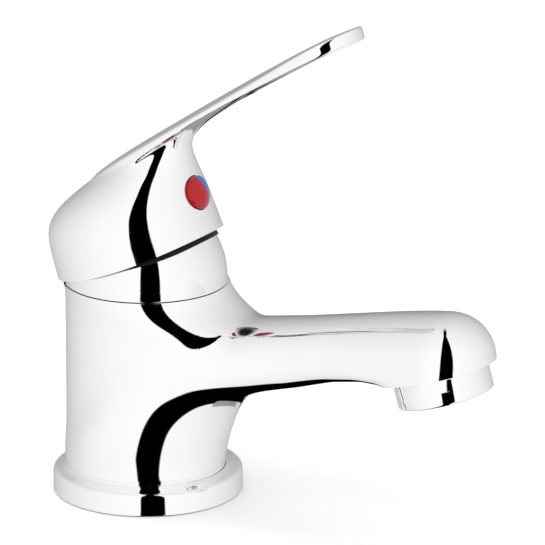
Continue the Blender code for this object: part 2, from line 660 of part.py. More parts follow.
def build_lever(lift):
    """The lever: hood, blade and the boss that grips the stem, made level."""
    levels = [HOOD_RIM, 12 * MM, 17 * MM, 20 * MM, 23 * MM, 27 * MM, 31 * MM, 35 * MM, 38 * MM]
    lever = make_object("lever_handle", lofted([hood_section(h, 0.0) for h in levels]),
                        chrome(), lift)
    stations = spaced(BLADE_ROOT, BLADE_REACH - BLADE_HALF_WIDTH, 8)
    stations += [BLADE_REACH - BLADE_HALF_WIDTH * s for s in (0.6, 0.3, 0.12, 0.01)]
    tool(lofted([blade_section(s) for s in stations]), lever, "UNION")

    inner = [HOOD_RIM - OVERSHOOT] + [h - HOOD_WALL * 0.8 for h in levels[1:-1]]
    cavity = tool(lofted([hood_section(h, HOOD_WALL) for h in inner]), lever)
    tool(rod(BOSS_RADIUS, BOSS_BOTTOM, BLADE_FOOT, 24), cavity)
    half = SCREW_RADIUS + 2.0 * MM
    tool(block((-half, -BOSS_REACH, BOSS_BOTTOM), (half, 0.0, BLADE_FOOT)), cavity)
    side = STEM_SIDE / 2 + FIT_GAP
    tool(block((-side, -side, BOSS_BOTTOM - OVERSHOOT), (side, side, STEM_TOP + FIT_GAP)), lever)

    # the set screw's thread through the boss, and the plug's hole in the nose
    face = nose_front(PLUG_HEIGHT)
    for radius, start, end in ((SCREW_RADIUS + FIT_GAP, 0.0, BOSS_REACH + OVERSHOOT),
                               (PLUG_SHANK + FIT_GAP, face - 4 * HOOD_WALL, face + OVERSHOOT),
                               (PLUG_RADIUS + FIT_GAP, face - PLUG_SEAT, face + OVERSHOOT)):
        hole = forward(rod(radius, start, end))
        bmesh.ops.translate(hole, verts=hole.verts, vec=(0, 0, PLUG_HEIGHT))
        tool(hole, lever)
    return lever


def build_lever_fittings(lift):
    """Index plug and set screw, which ride in the lever's nose and boss."""
    face = nose_front(PLUG_HEIGHT) - PLUG_SEAT + FIT_GAP
    rim = nose_front(PLUG_HEIGHT) + PLUG_PROUD
    bevel = 0.6 * MM
    deep = face - HOOD_WALL
    outline = [(0.0, rim + 0.25 * MM), (PLUG_RADIUS * 0.6, rim + 0.15 * MM),
               (PLUG_RADIUS - bevel, rim), (PLUG_RADIUS, rim - bevel),
               (PLUG_RADIUS, face), (PLUG_SHANK, face), (PLUG_SHANK, deep), (0.0, deep)]
    plug = forward(spun(outline, 28))
    bmesh.ops.translate(plug, verts=plug.verts, vec=(0, 0, PLUG_HEIGHT))
    make_object("index_plug", plug, red_plastic(), lift)

    start = STEM_SIDE / 2 + 2 * FIT_GAP
    screw = forward(rod(SCREW_RADIUS, start, start + SCREW_LENGTH, 18))
    bmesh.ops.translate(screw, verts=screw.verts, vec=(0, 0, PLUG_HEIGHT))
    grub = make_object("lever_set_screw", screw, steel(), lift)
    key = forward(rod(SCREW_RADIUS * 0.55, start + SCREW_LENGTH * 0.5,
                      start + SCREW_LENGTH + OVERSHOOT, 6))
    bmesh.ops.translate(key, verts=key.verts, vec=(0, 0, PLUG_HEIGHT))
    tool(key, grub)


def nose_front(height):
    """How far forward the hood's front is at a height."""
    return NOSE_REACH + (HOOD_RADIUS - NOSE_REACH) * max(0.0, 1 - height / (24 * MM))


def build_stem(lift):
    """The stem: a ball below, a round arm, a hub on the pin and a square shank above."""
    length = arm_length()
    ball = [(BALL_RADIUS * cos(a), -length + BALL_RADIUS * sin(a))
            for a in spaced(-pi / 2, radians(40), 8)]
    outline = [(0.0, 0.0), (ARM_RADIUS, 0.0), (ARM_RADIUS, -length + BALL_RADIUS)]
    outline += list(reversed(ball))
    outline[-1] = (0.0, -length - BALL_RADIUS)
    stem = make_object("cartridge_stem", spun(outline, 20), steel(), lift)
    width = HUB_RADIUS * 0.9
    tool(along_x(rod(HUB_RADIUS, -width, width, 24)), stem, "UNION")
    half = STEM_SIDE / 2
    tool(block((-half, -half, 1.0 * MM), (half, half, STEM_TOP)), stem, "UNION")
    tool(along_x(rod(PIN_RADIUS + RUN_GAP, -2 * width, 2 * width, 24)), stem)


# ---------------------------------------------------------------- aerator

def build_aerator(axis):
    """Collar, washer, flow insert and screen, made about their own axis below the rim."""
    bore = THREAD_RADIUS - AERATOR_WALL
    lip = bore - 1.3 * MM
    bottom = -FIT_GAP - COLLAR_HEIGHT
    edge = 0.5 * MM
    outline = [(THREAD_RADIUS, THREAD_LENGTH), (THREAD_RADIUS, -FIT_GAP),
               (COLLAR_RADIUS - edge, -FIT_GAP), (COLLAR_RADIUS, -FIT_GAP - edge),
               (COLLAR_RADIUS, bottom + edge), (COLLAR_RADIUS - edge, bottom), (lip, bottom),
               (lip, bottom + AERATOR_LIP), (bore, bottom + AERATOR_LIP), (bore, THREAD_LENGTH)]
    housing = make_object("aerator_housing", spun(outline), chrome(), axis)
    flat = COLLAR_RADIUS - FLAT_DEPTH
    for side in (0.0, pi):
        jaw = block((flat, -COLLAR_RADIUS, -FIT_GAP - COLLAR_HEIGHT / 2),
                    (2 * flat, COLLAR_RADIUS, OVERSHOOT * 0.1))
        tool(turned(jaw, Matrix.Rotation(side + FLAT_TURN, 4, "Z")), housing, parent=axis)

    floor = bottom + AERATOR_LIP + FIT_GAP
    mesh_top = floor + SCREEN_HEIGHT
    screen = make_object("aerator_screen", rod(bore - FIT_GAP, floor, mesh_top, 40),
                         steel(), axis)
    tool_holes(screen, floor, mesh_top, axis)

    low = mesh_top + FIT_GAP
    high = THREAD_LENGTH - FIT_GAP
    waist = bore - 2.0 * MM
    insert = [(bore - FIT_GAP, high), (bore - FIT_GAP, high - 2 * MM), (waist, high - 3 * MM),
              (waist, low + 3 * MM), (bore - FIT_GAP, low + 2 * MM), (bore - FIT_GAP, low),
              (waist - 2.4 * MM, low), (waist - 4.4 * MM, high)]
    make_object("aerator_insert", spun(insert, 40), white_plastic(), axis)
    washer = THREAD_LENGTH + FIT_GAP
    make_object("aerator_washer", tube(THREAD_RADIUS - FIT_GAP, waist, washer,
                                       washer + WASHER_HEIGHT, 40), rubber(), axis)


def tool_holes(screen, low, high, axis):
    """Rings of jet holes through the screen."""
    for ring, count in ((0.0, 1), (3.6 * MM, 6), (7.2 * MM, 10)):
        for i in range(count):
            turn = 2 * pi * i / count
            tool(rod(JET_RADIUS, low - OVERSHOOT, high + OVERSHOOT, 6,
                     ring * cos(turn), ring * sin(turn)), screen, parent=axis)


# ---------------------------------------------------------------- assembly

def main():
    clear_scene()
    rim_axis = make_empty("rim_axis", (0.0, -SPOUT_REACH, RIM_HEIGHT), (-RIM_TILT, 0.0, 0.0))
    turn_axis = make_empty("turn_axis", (0.0, 0.0, 0.0))
    lift_axis = make_empty("lift_axis", (0.0, 0.0, PIVOT_HEIGHT), (-LEVER_TILT, 0.0, 0.0),
                           parent=turn_axis)
    build_base()
    build_body(rim_axis)
    build_cartridge_shell()
    build_dome()
    build_turret(turn_axis)
    build_sliding_disc(turn_axis)
    build_stem(lift_axis)
    build_lever(lift_axis)
    build_lever_fittings(lift_axis)
    build_aerator(rim_axis)


if __name__ == "__main__":
    main()
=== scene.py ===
"""Looks of a single-lever basin mixer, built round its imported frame.

The visible castings are smooth surfaces worked out with numpy. Each is a solid given by
a field, which is negative inside, and a closed grid is wrapped round it ring by ring.
"""
import json
from math import atan2, cos, pi, radians, sin

import bmesh
import bpy
import numpy as np
from bpy.props import FloatProperty, FloatVectorProperty, PointerProperty
from bpy.types import Operator, Panel, PropertyGroup
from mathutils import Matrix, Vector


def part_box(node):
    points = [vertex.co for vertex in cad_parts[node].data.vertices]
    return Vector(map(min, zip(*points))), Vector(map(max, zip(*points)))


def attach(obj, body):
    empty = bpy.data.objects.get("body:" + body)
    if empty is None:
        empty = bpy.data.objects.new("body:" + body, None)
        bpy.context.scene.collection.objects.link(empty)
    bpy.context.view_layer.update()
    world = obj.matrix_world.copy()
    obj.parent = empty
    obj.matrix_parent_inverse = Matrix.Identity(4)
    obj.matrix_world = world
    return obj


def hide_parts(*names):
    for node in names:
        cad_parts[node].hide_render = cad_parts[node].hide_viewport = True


bl_info = {
    "name": "Basin mixer",
    "version": (1, 0, 0),
    "blender": (4, 5, 0),
    "location": "3D View > Sidebar > Mixer",
    "description": "Builds the visible pieces and finishes of a single-lever basin mixer",
    "category": "Object",
}

MM = 0.001
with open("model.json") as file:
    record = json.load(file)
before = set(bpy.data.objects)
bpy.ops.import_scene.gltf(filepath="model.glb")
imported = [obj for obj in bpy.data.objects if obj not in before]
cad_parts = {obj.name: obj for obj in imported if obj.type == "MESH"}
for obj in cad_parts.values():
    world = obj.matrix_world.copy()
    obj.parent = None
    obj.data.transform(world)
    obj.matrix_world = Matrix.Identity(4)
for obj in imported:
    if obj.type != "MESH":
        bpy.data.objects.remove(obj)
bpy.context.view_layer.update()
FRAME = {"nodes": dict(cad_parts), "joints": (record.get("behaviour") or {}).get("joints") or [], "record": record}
JOINTS = {joint["name"]: joint for joint in FRAME["joints"]}
PANEL_TAB = "Mixer"

# places read from the frame
RING_LOW, RING_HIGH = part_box("base_ring")
DOME_LOW, DOME_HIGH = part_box("dome_cover")
HOUSING_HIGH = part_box("cartridge_housing")[1]
NUT_LOW, NUT_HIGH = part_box("cartridge_nut")
BASE_LOW, BASE_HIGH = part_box("cartridge_base")
COLLAR_LOW, COLLAR_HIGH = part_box("aerator_housing")
PIVOT = np.array(JOINTS["lever_lift"]["pos_m"])
TILT = radians(17.6)          # of the raised lever against its level position
GAP = 0.3 * MM                # between pieces that rest on each other
RIM_TILT = radians(15.9)      # the outlet leans away from the column
RIM_CENTRE = np.array((0.0, -97.3 * MM, 51.3 * MM))
RIM_REACH = -RIM_CENTRE[1]
RIM_RADIUS = 16.0 * MM        # of the spout's head, which the spout's widths are drawn for
BLADE_HALF_WIDTH = 12.5 * MM  # at the blade's tip, which the blade's widths are drawn for
SPIGOT_RADIUS = 20.0 * MM     # of the column's foot inside the ring
RING_LEDGE = 3.6 * MM         # height inside the ring that the column stands on
OUTLET_BORE = 12.3 * MM       # radius of the hole that takes the aerator's collar
NOSE_REACH = 26.5 * MM        # from the lever's axis to the index plug's face
WELD_DISTANCE = 1e-7


# ------------------------------------------------------------------ fields

def soft_min(a, b, width):
    """The lower of two fields. Where they differ by less than the width it dips by the cube
    of their closeness over six, so the fillet's curvature starts and ends at nothing."""
    near = np.maximum(width - np.abs(a - b), 0.0) / width
    return np.minimum(a, b) - near ** 3 * width / 6.0


def soft_max(a, b, width):
    """The higher of two fields, rounded in the same way."""
    return -soft_min(-a, -b, width)


def curve(value, stops, ease):
    """A height read off lines through (place, height) stops, averaged with a raised-cosine
    window of the given width, so that it bends smoothly at each stop."""
    places, heights = np.array(stops, float).T
    fine = np.linspace(places[0] - 2 * ease, places[-1] + 2 * ease, 1200)
    lines = np.interp(fine, places, heights)
    low_slope = (heights[1] - heights[0]) / (places[1] - places[0])
    high_slope = (heights[-1] - heights[-2]) / (places[-1] - places[-2])
    lines += low_slope * np.minimum(fine - places[0], 0.0)
    lines += high_slope * np.maximum(fine - places[-1], 0.0)
    count = max(3, int(ease / (fine[1] - fine[0])) | 1)
    window = np.hanning(count + 2)[1:-1]
    half = count // 2
    padded = np.concatenate((np.full(half, lines[0]), lines, np.full(half, lines[-1])))
    smooth = np.convolve(padded, window / window.sum(), mode="valid")
    return np.interp(value, fine[half:-half], smooth[half:-half])


def smooth_step(value):
    """Three t squared less two t cubed, between 0 and 1."""
    t = np.clip(value, 0.0, 1.0)
    return t * t * (3 - 2 * t)


# ------------------------------------------------------------------ grids

def wrap(field, origins, aims, around, reach):
    """Wrap a ring round the solid in each plane. A plane holds the X axis and an aim in the
    plane X = 0. The first stretch inside along the aim gives the ring's centre and height,
    a search along X gives its half width, and each point of the ring is where the field
    changes sign along (half width cos t, half height sin t). Rings are (count, around, 3)."""
    rings = len(origins)
    steps = np.linspace(0.0, reach, 1600)
    line = origins[:, None, :] + aims[:, None, :] * steps[None, :, None]
    value = field(np.zeros(line.shape[:2]), line[..., 0], line[..., 1])
    inside = value < 0
    first = inside.argmax(1)
    after = (~inside) & (np.arange(len(steps))[None] > first[:, None])
    last = after.argmax(1)
    if not inside.any(1).all():
        raise ValueError(f"rings {np.flatnonzero(~inside.any(1))} miss the solid")
    row = np.arange(rings)

    def crossing(i):
        a, b = value[row, i - 1], value[row, i]
        return steps[i - 1] + (steps[i] - steps[i - 1]) * a / (a - b)

    enter, leave = crossing(np.maximum(first, 1)), crossing(last)
    high = (leave - enter) / 2
    centre = origins + aims * (enter + high)[:, None]

    def root(direction, guess):
        """Bisect along each direction after a coarse march to the first change of sign."""
        grow = np.linspace(0.0, 2.2, 45)[1:]
        low = np.zeros(direction.shape[:-1])
        top = np.full(low.shape, 2.2) * guess
        found = np.zeros(low.shape, bool)
        for g in grow:
            point = centre[:, None, :] + direction[..., 1:] * (g * guess)[..., None]
            outside = field(direction[..., 0] * g * guess, point[..., 0], point[..., 1]) > 0
            top = np.where(outside & ~found, g * guess, top)
            found |= outside
            low = np.where(found, low, g * guess)
        for _ in range(26):
            middle = (low + top) / 2
            point = centre[:, None, :] + direction[..., 1:] * middle[..., None]
            outside = field(direction[..., 0] * middle, point[..., 0], point[..., 1]) > 0
            top = np.where(outside, middle, top)
            low = np.where(outside, low, middle)
        return (low + top) / 2

    sideways = np.zeros((rings, 1, 3))
    sideways[..., 0] = 1.0
    wide = root(sideways, np.full((rings, 1), reach / 2.2))
    turn = 2 * pi * (np.arange(around) + 0.5) / around
    vector = np.empty((rings, around, 3))
    vector[..., 0] = wide * np.cos(turn)
    vector[..., 1:] = aims[:, None, :] * (high[:, None] * np.sin(turn))[..., None]
    length = np.linalg.norm(vector, axis=-1)
    vector /= length[..., None]
    distance = root(vector, length)
    points = np.empty_like(vector)
    points[..., 0] = vector[..., 0] * distance
    place = centre[:, None, :] + vector[..., 1:] * distance[..., None]
    points[..., 1] = -place[..., 0]
    points[..., 2] = place[..., 1]
    return points, np.column_stack((np.zeros(rings), -centre[:, 0], centre[:, 1]))


def ring_mesh(name, rings, first=None, last=None):
    """A mesh of quads between neighbouring rings, each end closed by a fan to a point."""
    count, around = rings.shape[:2]
    points = rings.reshape(-1, 3)
    row = np.arange(count - 1)[:, None] * around
    col = np.arange(around)[None]
    step = (col + 1) % around
    quads = np.stack((row + col, row + step, row + around + step, row + around + col), -1)
    faces = quads.reshape(-1, 4).tolist()
    col = np.arange(around)
    step = (col + 1) % around
    if first is not None:
        fan = np.stack((np.full(around, len(points)), step, col), -1)
        faces += fan.tolist()
        points = np.vstack((points, first))
    if last is not None:
        base = (count - 1) * around
        fan = np.stack((np.full(around, len(points)), base + col, base + step), -1)
        faces += fan.tolist()
        points = np.vstack((points, last))
    mesh = bpy.data.meshes.new(name)
    mesh.from_pydata(points.tolist(), [], faces)
    mesh.update()
    return face_out(mesh)


def face_out(mesh):
    """Turn every face of a closed mesh outwards, judged by the sign of its volume."""
    mesh.calc_loop_triangles()
    count = len(mesh.loop_triangles)
    corners = np.empty(count * 3, np.int32)
    mesh.loop_triangles.foreach_get("vertices", corners)
    places = np.empty(len(mesh.vertices) * 3)
    mesh.vertices.foreach_get("co", places)
    a, b, c = places.reshape(-1, 3)[corners.reshape(-1, 3)].transpose(1, 0, 2)
    if np.einsum("ij,ij->", a, np.cross(b, c)) < 0:
        mesh.flip_normals()
    return mesh


def turned_rings(profile, around):
    """A profile of (radius, height) points carried round the Z axis."""
    profile = np.array(profile, float)
    turn = 2 * pi * np.arange(around) / around
    rings = np.empty((len(profile), around, 3))
    rings[..., 0] = profile[:, :1] * np.sin(turn)
    rings[..., 1] = -profile[:, :1] * np.cos(turn)
    rings[..., 2] = profile[:, 1:]
    return rings


def turned_mesh(name, profile, around=192):
    """A closed turned solid: a ring-shaped one when the profile stays off the axis, or one
    with a pole wherever the profile starts or ends on it."""
    profile = list(profile)
    first = last = None
    if profile[0][0] > 0 and profile[-1][0] > 0:
        profile.append(profile[0])
    if profile[0][0] == 0:
        first = (0.0, 0.0, profile.pop(0)[1])
    if profile[-1][0] == 0:
        last = (0.0, 0.0, profile.pop()[1])
    mesh = ring_mesh(name, turned_rings(profile, around), first, last)
    if first is None and last is None:
        weld(mesh)
    return mesh


def weld(mesh):
    """Join the points that lie on each other."""
    work = bmesh.new()
    work.from_mesh(mesh)
    bmesh.ops.remove_doubles(work, verts=work.verts, dist=WELD_DISTANCE)
    work.to_mesh(mesh)
    work.free()


def rounded(corners, radii, steps=7):
    """A profile through corners, each rounded by an arc tangent to its two sides."""
    corners = np.array(corners, float)
    path = []
    for i, (corner, radius) in enumerate(zip(corners, radii)):
        before = corners[i - 1] - corner
        after = corners[(i + 1) % len(corners)] - corner
        if not radius:
            path.append(tuple(corner))
            continue
        before /= np.linalg.norm(before)
        after /= np.linalg.norm(after)
        half = np.arccos(np.clip(before @ after, -1, 1)) / 2
        tangent = radius / np.tan(half)
        middle = before + after
        centre = corner + middle / np.linalg.norm(middle) * radius / sin(half)
        start = corner + before * tangent - centre
        end = corner + after * tangent - centre
        sweep = pi - 2 * half
        for t in np.linspace(0, 1, steps):
            a, b = np.sin((1 - t) * sweep) / sin(sweep), np.sin(t * sweep) / sin(sweep)
            path.append(tuple(centre + a * start + b * end))
    return path


def tilted(points, angle, place):
    """Turn points about the X axis and move them."""
    c, s = cos(angle), sin(angle)
    out = np.array(points, float)
    y, z = out[..., 1].copy(), out[..., 2].copy()
    out[..., 1] = y * c - z * s
    out[..., 2] = y * s + z * c
    return out + np.array(place)


def move_mesh(mesh, angle, place):
    """Turn a mesh's points about the X axis and move them."""
    places = np.empty(len(mesh.vertices) * 3)
    mesh.vertices.foreach_get("co", places)
    moved = tilted(places.reshape(-1, 3), angle, place)
    mesh.vertices.foreach_set("co", moved.ravel())
    mesh.update()
    return mesh


def carve(mesh, cutters):
    """Cut each cutter mesh out, and return the finished mesh."""
    target = bpy.data.objects.new("carved", mesh)
    bpy.context.scene.collection.objects.link(target)
    helpers = [target]
    for cutter in cutters:
        helper = bpy.data.objects.new("cutter", cutter)
        bpy.context.scene.collection.objects.link(helper)
        helpers.append(helper)
        change = target.modifiers.new("cut", "BOOLEAN")
        change.operation = "DIFFERENCE"
        change.solver = "EXACT"
        change.object = helper
    bpy.context.view_layer.update()
    result = bpy.data.meshes.new_from_object(
        target.evaluated_get(bpy.context.evaluated_depsgraph_get()))
    for helper in helpers:
        bpy.data.objects.remove(helper)
    return result


def mark_unplated_shade(mesh, test):
    """Mark the points of unplated inner faces in the attribute that the finish reads. There the finish turns them
    near-black: unplated metal, darkened further as painted shade inside the hollows.
    """
    places = np.empty(len(mesh.vertices) * 3)
    mesh.vertices.foreach_get("co", places)
    x, y, z = places.reshape(-1, 3).T
    raw = mesh.attributes.new("raw", "FLOAT", "POINT")
    raw.data.foreach_set("value", test(x, -y, z).astype(float))


def add_piece(name, mesh, body, nodes, material, sharp=32.0):
    """Put a finished mesh in the scene and bind it to its body, nodes and slot."""
    mesh.name = name
    mesh.shade_smooth()
    mesh.set_sharp_from_angle(angle=radians(sharp))
    mesh.materials.clear()
    mesh.materials.append(material)
    piece = bpy.data.objects.new(name, mesh)
    bpy.context.scene.collection.objects.link(piece)
    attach(piece, body)
    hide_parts(*nodes)
    return piece


# ------------------------------------------------------------------ sizes and colours

def length(label, text, value):
    """A size in metres for a property group."""
    return FloatProperty(name=label, description=text, default=value, unit="LENGTH",
                         precision=4)


def colour(label, text, value):
    """A colour for a property group."""
    return FloatVectorProperty(name=label, description=text, default=value, size=3,
                               subtype="COLOR", min=0.0, max=1.0)


class MixerCastingSizes(PropertyGroup):
    """Sizes of the column and spout."""
    column_radius: length("Column radius", "Radius at the seam under the cover",
                          (DOME_HIGH.x - DOME_LOW.x) / 2)
    seam_height: length("Seam height", "Height of the column's top", DOME_LOW.z - GAP)
    foot_radius: length("Foot radius", "Radius at the base ring", 23.4 * MM)
    foot_shift: length("Foot shift", "How far the foot's circle sits behind the axis", 1.2 * MM)
    neck_radius: length("Neck radius", "Rounding of the column's front", 13.0 * MM)
    rim_radius: length("Rim radius", "Radius of the spout's head at the outlet", RIM_RADIUS)


class MixerLeverSizes(PropertyGroup):
    """Sizes of the lever, measured from its pivot while it is level."""
    rim_height: length("Rim height", "Height of the hood's lower rim", 6.8 * MM)
    wall: length("Wall", "Thickness of the hood's wall", 2.4 * MM)
    blade_reach: length("Blade reach", "Distance to the blade's tip", 91.6 * MM)
    blade_half_width: length("Blade half width", "Half width of the blade at its tip",
                             BLADE_HALF_WIDTH)
    blade_crown: length("Blade crown", "Arch of the blade across its width", 2.1 * MM)
    plug_height: length("Plug height", "Height of the index plug", 21.1 * MM)
    plug_radius: length("Plug radius", "Radius of the index plug", 5.0 * MM)


class MixerFinishes(PropertyGroup):
    """Colours of the finishes."""
    chrome: colour("Chrome", "Reflection of the plated castings", (0.93, 0.93, 0.94))
    raw: colour("Raw", "Unplated metal inside the castings", (0.03, 0.03, 0.033))
    # Near-black colour of the inner faces: partly unplated metal, partly painted shade inside the hood's hollow
    # and the body's bore.
    hot: colour("Hot", "Hot side of the index plug", (0.42, 0.006, 0.012))
    cold: colour("Cold", "Cold side of the index plug", (0.02, 0.13, 0.42))
    brass: colour("Brass", "Cartridge nut", (0.78, 0.57, 0.27))
    steel: colour("Steel", "Stem, pin, screw and screen", (0.62, 0.62, 0.63))
    rubber: colour("Rubber", "Seals and gasket", (0.025, 0.025, 0.026))
    white_plastic: colour("White plastic", "Turret and flow insert", (0.82, 0.82, 0.79))
    grey_plastic: colour("Grey plastic", "Cartridge housing and carrier", (0.28, 0.29, 0.31))
    ceramic: colour("Ceramic", "Valve discs", (0.90, 0.89, 0.85))
    floor: colour("Floor", "The floor that it stands on", (0.93, 0.93, 0.93))


# ------------------------------------------------------------------ finishes

def new_material(name):
    """A node material, with its nodes, links and shader."""
    material = bpy.data.materials.new(name)
    material.use_nodes = True
    nodes = material.node_tree.nodes
    return material, nodes, material.node_tree.links, nodes["Principled BSDF"]


def noise_node(nodes, links, scale, detail, roughness=0.5):
    """A noise texture read at the piece's own place, in metres."""
    place = nodes.new("ShaderNodeTexCoord")
    noise = nodes.new("ShaderNodeTexNoise")
    noise.inputs["Scale"].default_value = scale
    noise.inputs["Detail"].default_value = detail
    noise.inputs["Roughness"].default_value = roughness
    links.new(place.outputs["Object"], noise.inputs["Vector"])
    return noise


def spread(nodes, links, source, low, high, start=0.3, end=0.7):
    """Map a noise's middle range to two values."""
    node = nodes.new("ShaderNodeMapRange")
    node.inputs["From Min"].default_value = start
    node.inputs["From Max"].default_value = end
    node.inputs["To Min"].default_value = low
    node.inputs["To Max"].default_value = high
    links.new(source, node.inputs["Value"])
    return node.outputs["Result"]


def bump_node(nodes, links, source, strength, distance):
    """A bump from a value, as a normal."""
    node = nodes.new("ShaderNodeBump")
    node.inputs["Strength"].default_value = strength
    node.inputs["Distance"].default_value = distance
    links.new(source, node.inputs["Height"])
    return node.outputs["Normal"]


def chrome_finish(finishes):
    """Mirror plating: a faint haze that comes and goes over a few millimetres, and a very
    shallow ripple left by polishing."""
    material, nodes, links, shader = new_material("polished_chrome")
    shader.inputs["Metallic"].default_value = 1.0
    # Marked inner faces take the near-black inner colour and a duller gloss: painted shade in the hollows, on top
    # of the unplated metal.
    raw = nodes.new("ShaderNodeAttribute")
    raw.attribute_name = "raw"
    tint = nodes.new("ShaderNodeMix")
    tint.data_type = "RGBA"
    tint.inputs["A"].default_value = (*finishes.chrome, 1.0)
    tint.inputs["B"].default_value = (*finishes.raw, 1.0)
    links.new(raw.outputs["Fac"], tint.inputs["Factor"])
    links.new(tint.outputs["Result"], shader.inputs["Base Color"])
    haze = noise_node(nodes, links, 90.0, 4.0, 0.6)
    gloss = nodes.new("ShaderNodeMix")
    gloss.inputs["B"].default_value = 0.55
    links.new(raw.outputs["Fac"], gloss.inputs["Factor"])
    links.new(spread(nodes, links, haze.outputs["Fac"], 0.028, 0.052), gloss.inputs["A"])
    links.new(gloss.outputs["Result"], shader.inputs["Roughness"])
    ripple = noise_node(nodes, links, 45.0, 1.0)
    links.new(bump_node(nodes, links, ripple.outputs["Fac"], 0.05, 0.02 * MM),
              shader.inputs["Normal"])
    return material


def mottled_finish(name, tint, metallic, rough, grain, depth, share=0.12, coat=0.0):
    """A plain material with grain: its colour, roughness and bump all follow a noise."""
    material, nodes, links, shader = new_material(name)
    shader.inputs["Metallic"].default_value = metallic
    shader.inputs["Coat Weight"].default_value = coat
    noise = noise_node(nodes, links, grain, 6.0, 0.6)
    mix = nodes.new("ShaderNodeMix")
    mix.data_type = "RGBA"
    low = tuple(c * (1 - share) for c in tint)
    mix.inputs["A"].default_value = (*low, 1.0)
    mix.inputs["B"].default_value = (*tint, 1.0)
    links.new(spread(nodes, links, noise.outputs["Fac"], 0.0, 1.0), mix.inputs["Factor"])
    links.new(mix.outputs["Result"], shader.inputs["Base Color"])
    links.new(spread(nodes, links, noise.outputs["Fac"], rough * 0.8, rough * 1.2),
              shader.inputs["Roughness"])
    links.new(bump_node(nodes, links, noise.outputs["Fac"], 0.3, depth), shader.inputs["Normal"])
    return material


def plug_centre():
    """Where the middle of the plug's face sits while the lever is raised."""
    height = bpy.context.scene.mixer_lever.plug_height
    return tilted((0.0, -NOSE_REACH, height), -TILT, PIVOT)


def index_finish(finishes):
    """Glossy plastic: hot colour over most of the face, cold colour along its +X edge."""
    material, nodes, links, shader = new_material("index_plastic")
    place = nodes.new("ShaderNodeTexCoord")
    apart = nodes.new("ShaderNodeSeparateXYZ")
    links.new(place.outputs["Object"], apart.inputs["Vector"])
    lean = nodes.new("ShaderNodeMath")
    lean.operation = "MULTIPLY_ADD"
    links.new(apart.outputs["Z"], lean.inputs[0])
    lean.inputs[1].default_value = 0.35
    links.new(apart.outputs["X"], lean.inputs[2])
    split = 0.35 * plug_centre()[2] + 1.1 * MM
    side = spread(nodes, links, lean.outputs[0], 0.0, 1.0, split - 0.05 * MM, split + 0.05 * MM)
    cloud = noise_node(nodes, links, 700.0, 3.0)
    deeper = nodes.new("ShaderNodeMix")
    deeper.data_type = "RGBA"
    deeper.inputs["A"].default_value = (*(c * 0.85 for c in finishes.hot), 1.0)
    deeper.inputs["B"].default_value = (*finishes.hot, 1.0)
    links.new(cloud.outputs["Fac"], deeper.inputs["Factor"])
    mix = nodes.new("ShaderNodeMix")
    mix.data_type = "RGBA"
    mix.inputs["B"].default_value = (*finishes.cold, 1.0)
    links.new(side, mix.inputs["Factor"])
    links.new(deeper.outputs["Result"], mix.inputs["A"])
    links.new(mix.outputs["Result"], shader.inputs["Base Color"])
    links.new(spread(nodes, links, cloud.outputs["Fac"], 0.16, 0.24),
              shader.inputs["Roughness"])
    shader.inputs["Coat Weight"].default_value = 0.1
    shader.inputs["Specular IOR Level"].default_value = 0.3
    shader.inputs["Coat Roughness"].default_value = 0.05
    return material


# ------------------------------------------------------------------ body

def column_field(x, f, z, sizes):
    """The column: at each height two circles run together. The front one reaches out
    towards the spout, then falls back at the seam, which makes a broad shoulder."""
    seam = sizes.seam_height
    share = np.clip(z / seam, 0.0, 1.0)
    radius = sizes.foot_radius + (sizes.column_radius - sizes.foot_radius) * share
    back = sizes.foot_shift * (1 - share)
    nose = curve(z, [(0.0, 13.5 * MM), (26 * MM, 15.0 * MM), (44 * MM, 19.0 * MM),
                     (seam - 9 * MM, 21.5 * MM), (seam, 21.5 * MM),
                     (seam + 12 * MM, 20.0 * MM)], 14 * MM)
    front = curve(z, [(0.0, 20.6 * MM), (12 * MM, 21.8 * MM), (26 * MM, 24.6 * MM),
                      (42 * MM, 30.5 * MM), (seam - 10 * MM, 35.0 * MM), (seam, 21.6 * MM),
                      (seam + 12 * MM, 8.0 * MM)], 9 * MM)
    behind = np.hypot(x, f + back) - radius
    ahead = np.hypot(x, f - front + nose) - nose
    outline = soft_min(behind, ahead, 10 * MM)
    return soft_max(outline, z - (seam + 2.5 * MM), 2 * MM)


def spout_field(x, f, z, sizes):
    """The spout: at each reach a rounded section with its own top, middle and underside.
    Past the outlet's axis the same section is carried round it, which makes the nose."""
    top = curve(f, [(0.0, 53.5 * MM), (34 * MM, 57.6 * MM), (53 * MM, 60.8 * MM),
                    (72 * MM, 64.4 * MM), (84 * MM, 66.6 * MM), (93 * MM, 68.0 * MM),
                    (104 * MM, 69.2 * MM), (118 * MM, 69.2 * MM)], 12 * MM)
    middle = curve(f, [(0.0, 40.0 * MM), (34 * MM, 45.5 * MM), (60 * MM, 50.5 * MM),
                       (80 * MM, 51.6 * MM), (97 * MM, 52.5 * MM), (115 * MM, 54.5 * MM)],
                   14 * MM)
    low = curve(f, [(0.0, 27.5 * MM), (30 * MM, 34.6 * MM), (54 * MM, 40.6 * MM),
                    (66 * MM, 44.3 * MM), (77 * MM, 46.4 * MM), (84 * MM, 46.2 * MM),
                    (90 * MM, 42.0 * MM), (97 * MM, 35.0 * MM)], 6 * MM)
    wide = curve(f, [(0.0, 21.6 * MM), (12 * MM, 21.0 * MM), (24 * MM, 19.0 * MM),
                     (38 * MM, 16.2 * MM), (52 * MM, 14.2 * MM), (66 * MM, 13.8 * MM),
                     (82 * MM, 14.9 * MM), (95 * MM, 15.9 * MM), (99 * MM, 16.0 * MM)], 14 * MM)
    wide = wide * sizes.rim_radius / RIM_RADIUS
    across = np.where(f < RIM_REACH, np.abs(x), np.hypot(x, f - RIM_REACH)) / wide
    up = np.where(z > middle, (z - middle) / (top - middle), (middle - z) / (middle - low))
    size = (across ** 2.25 + up ** 2.25) ** (1 / 2.25)
    return soft_max((size - 1) * 14 * MM, 2 * MM - f, 14 * MM)


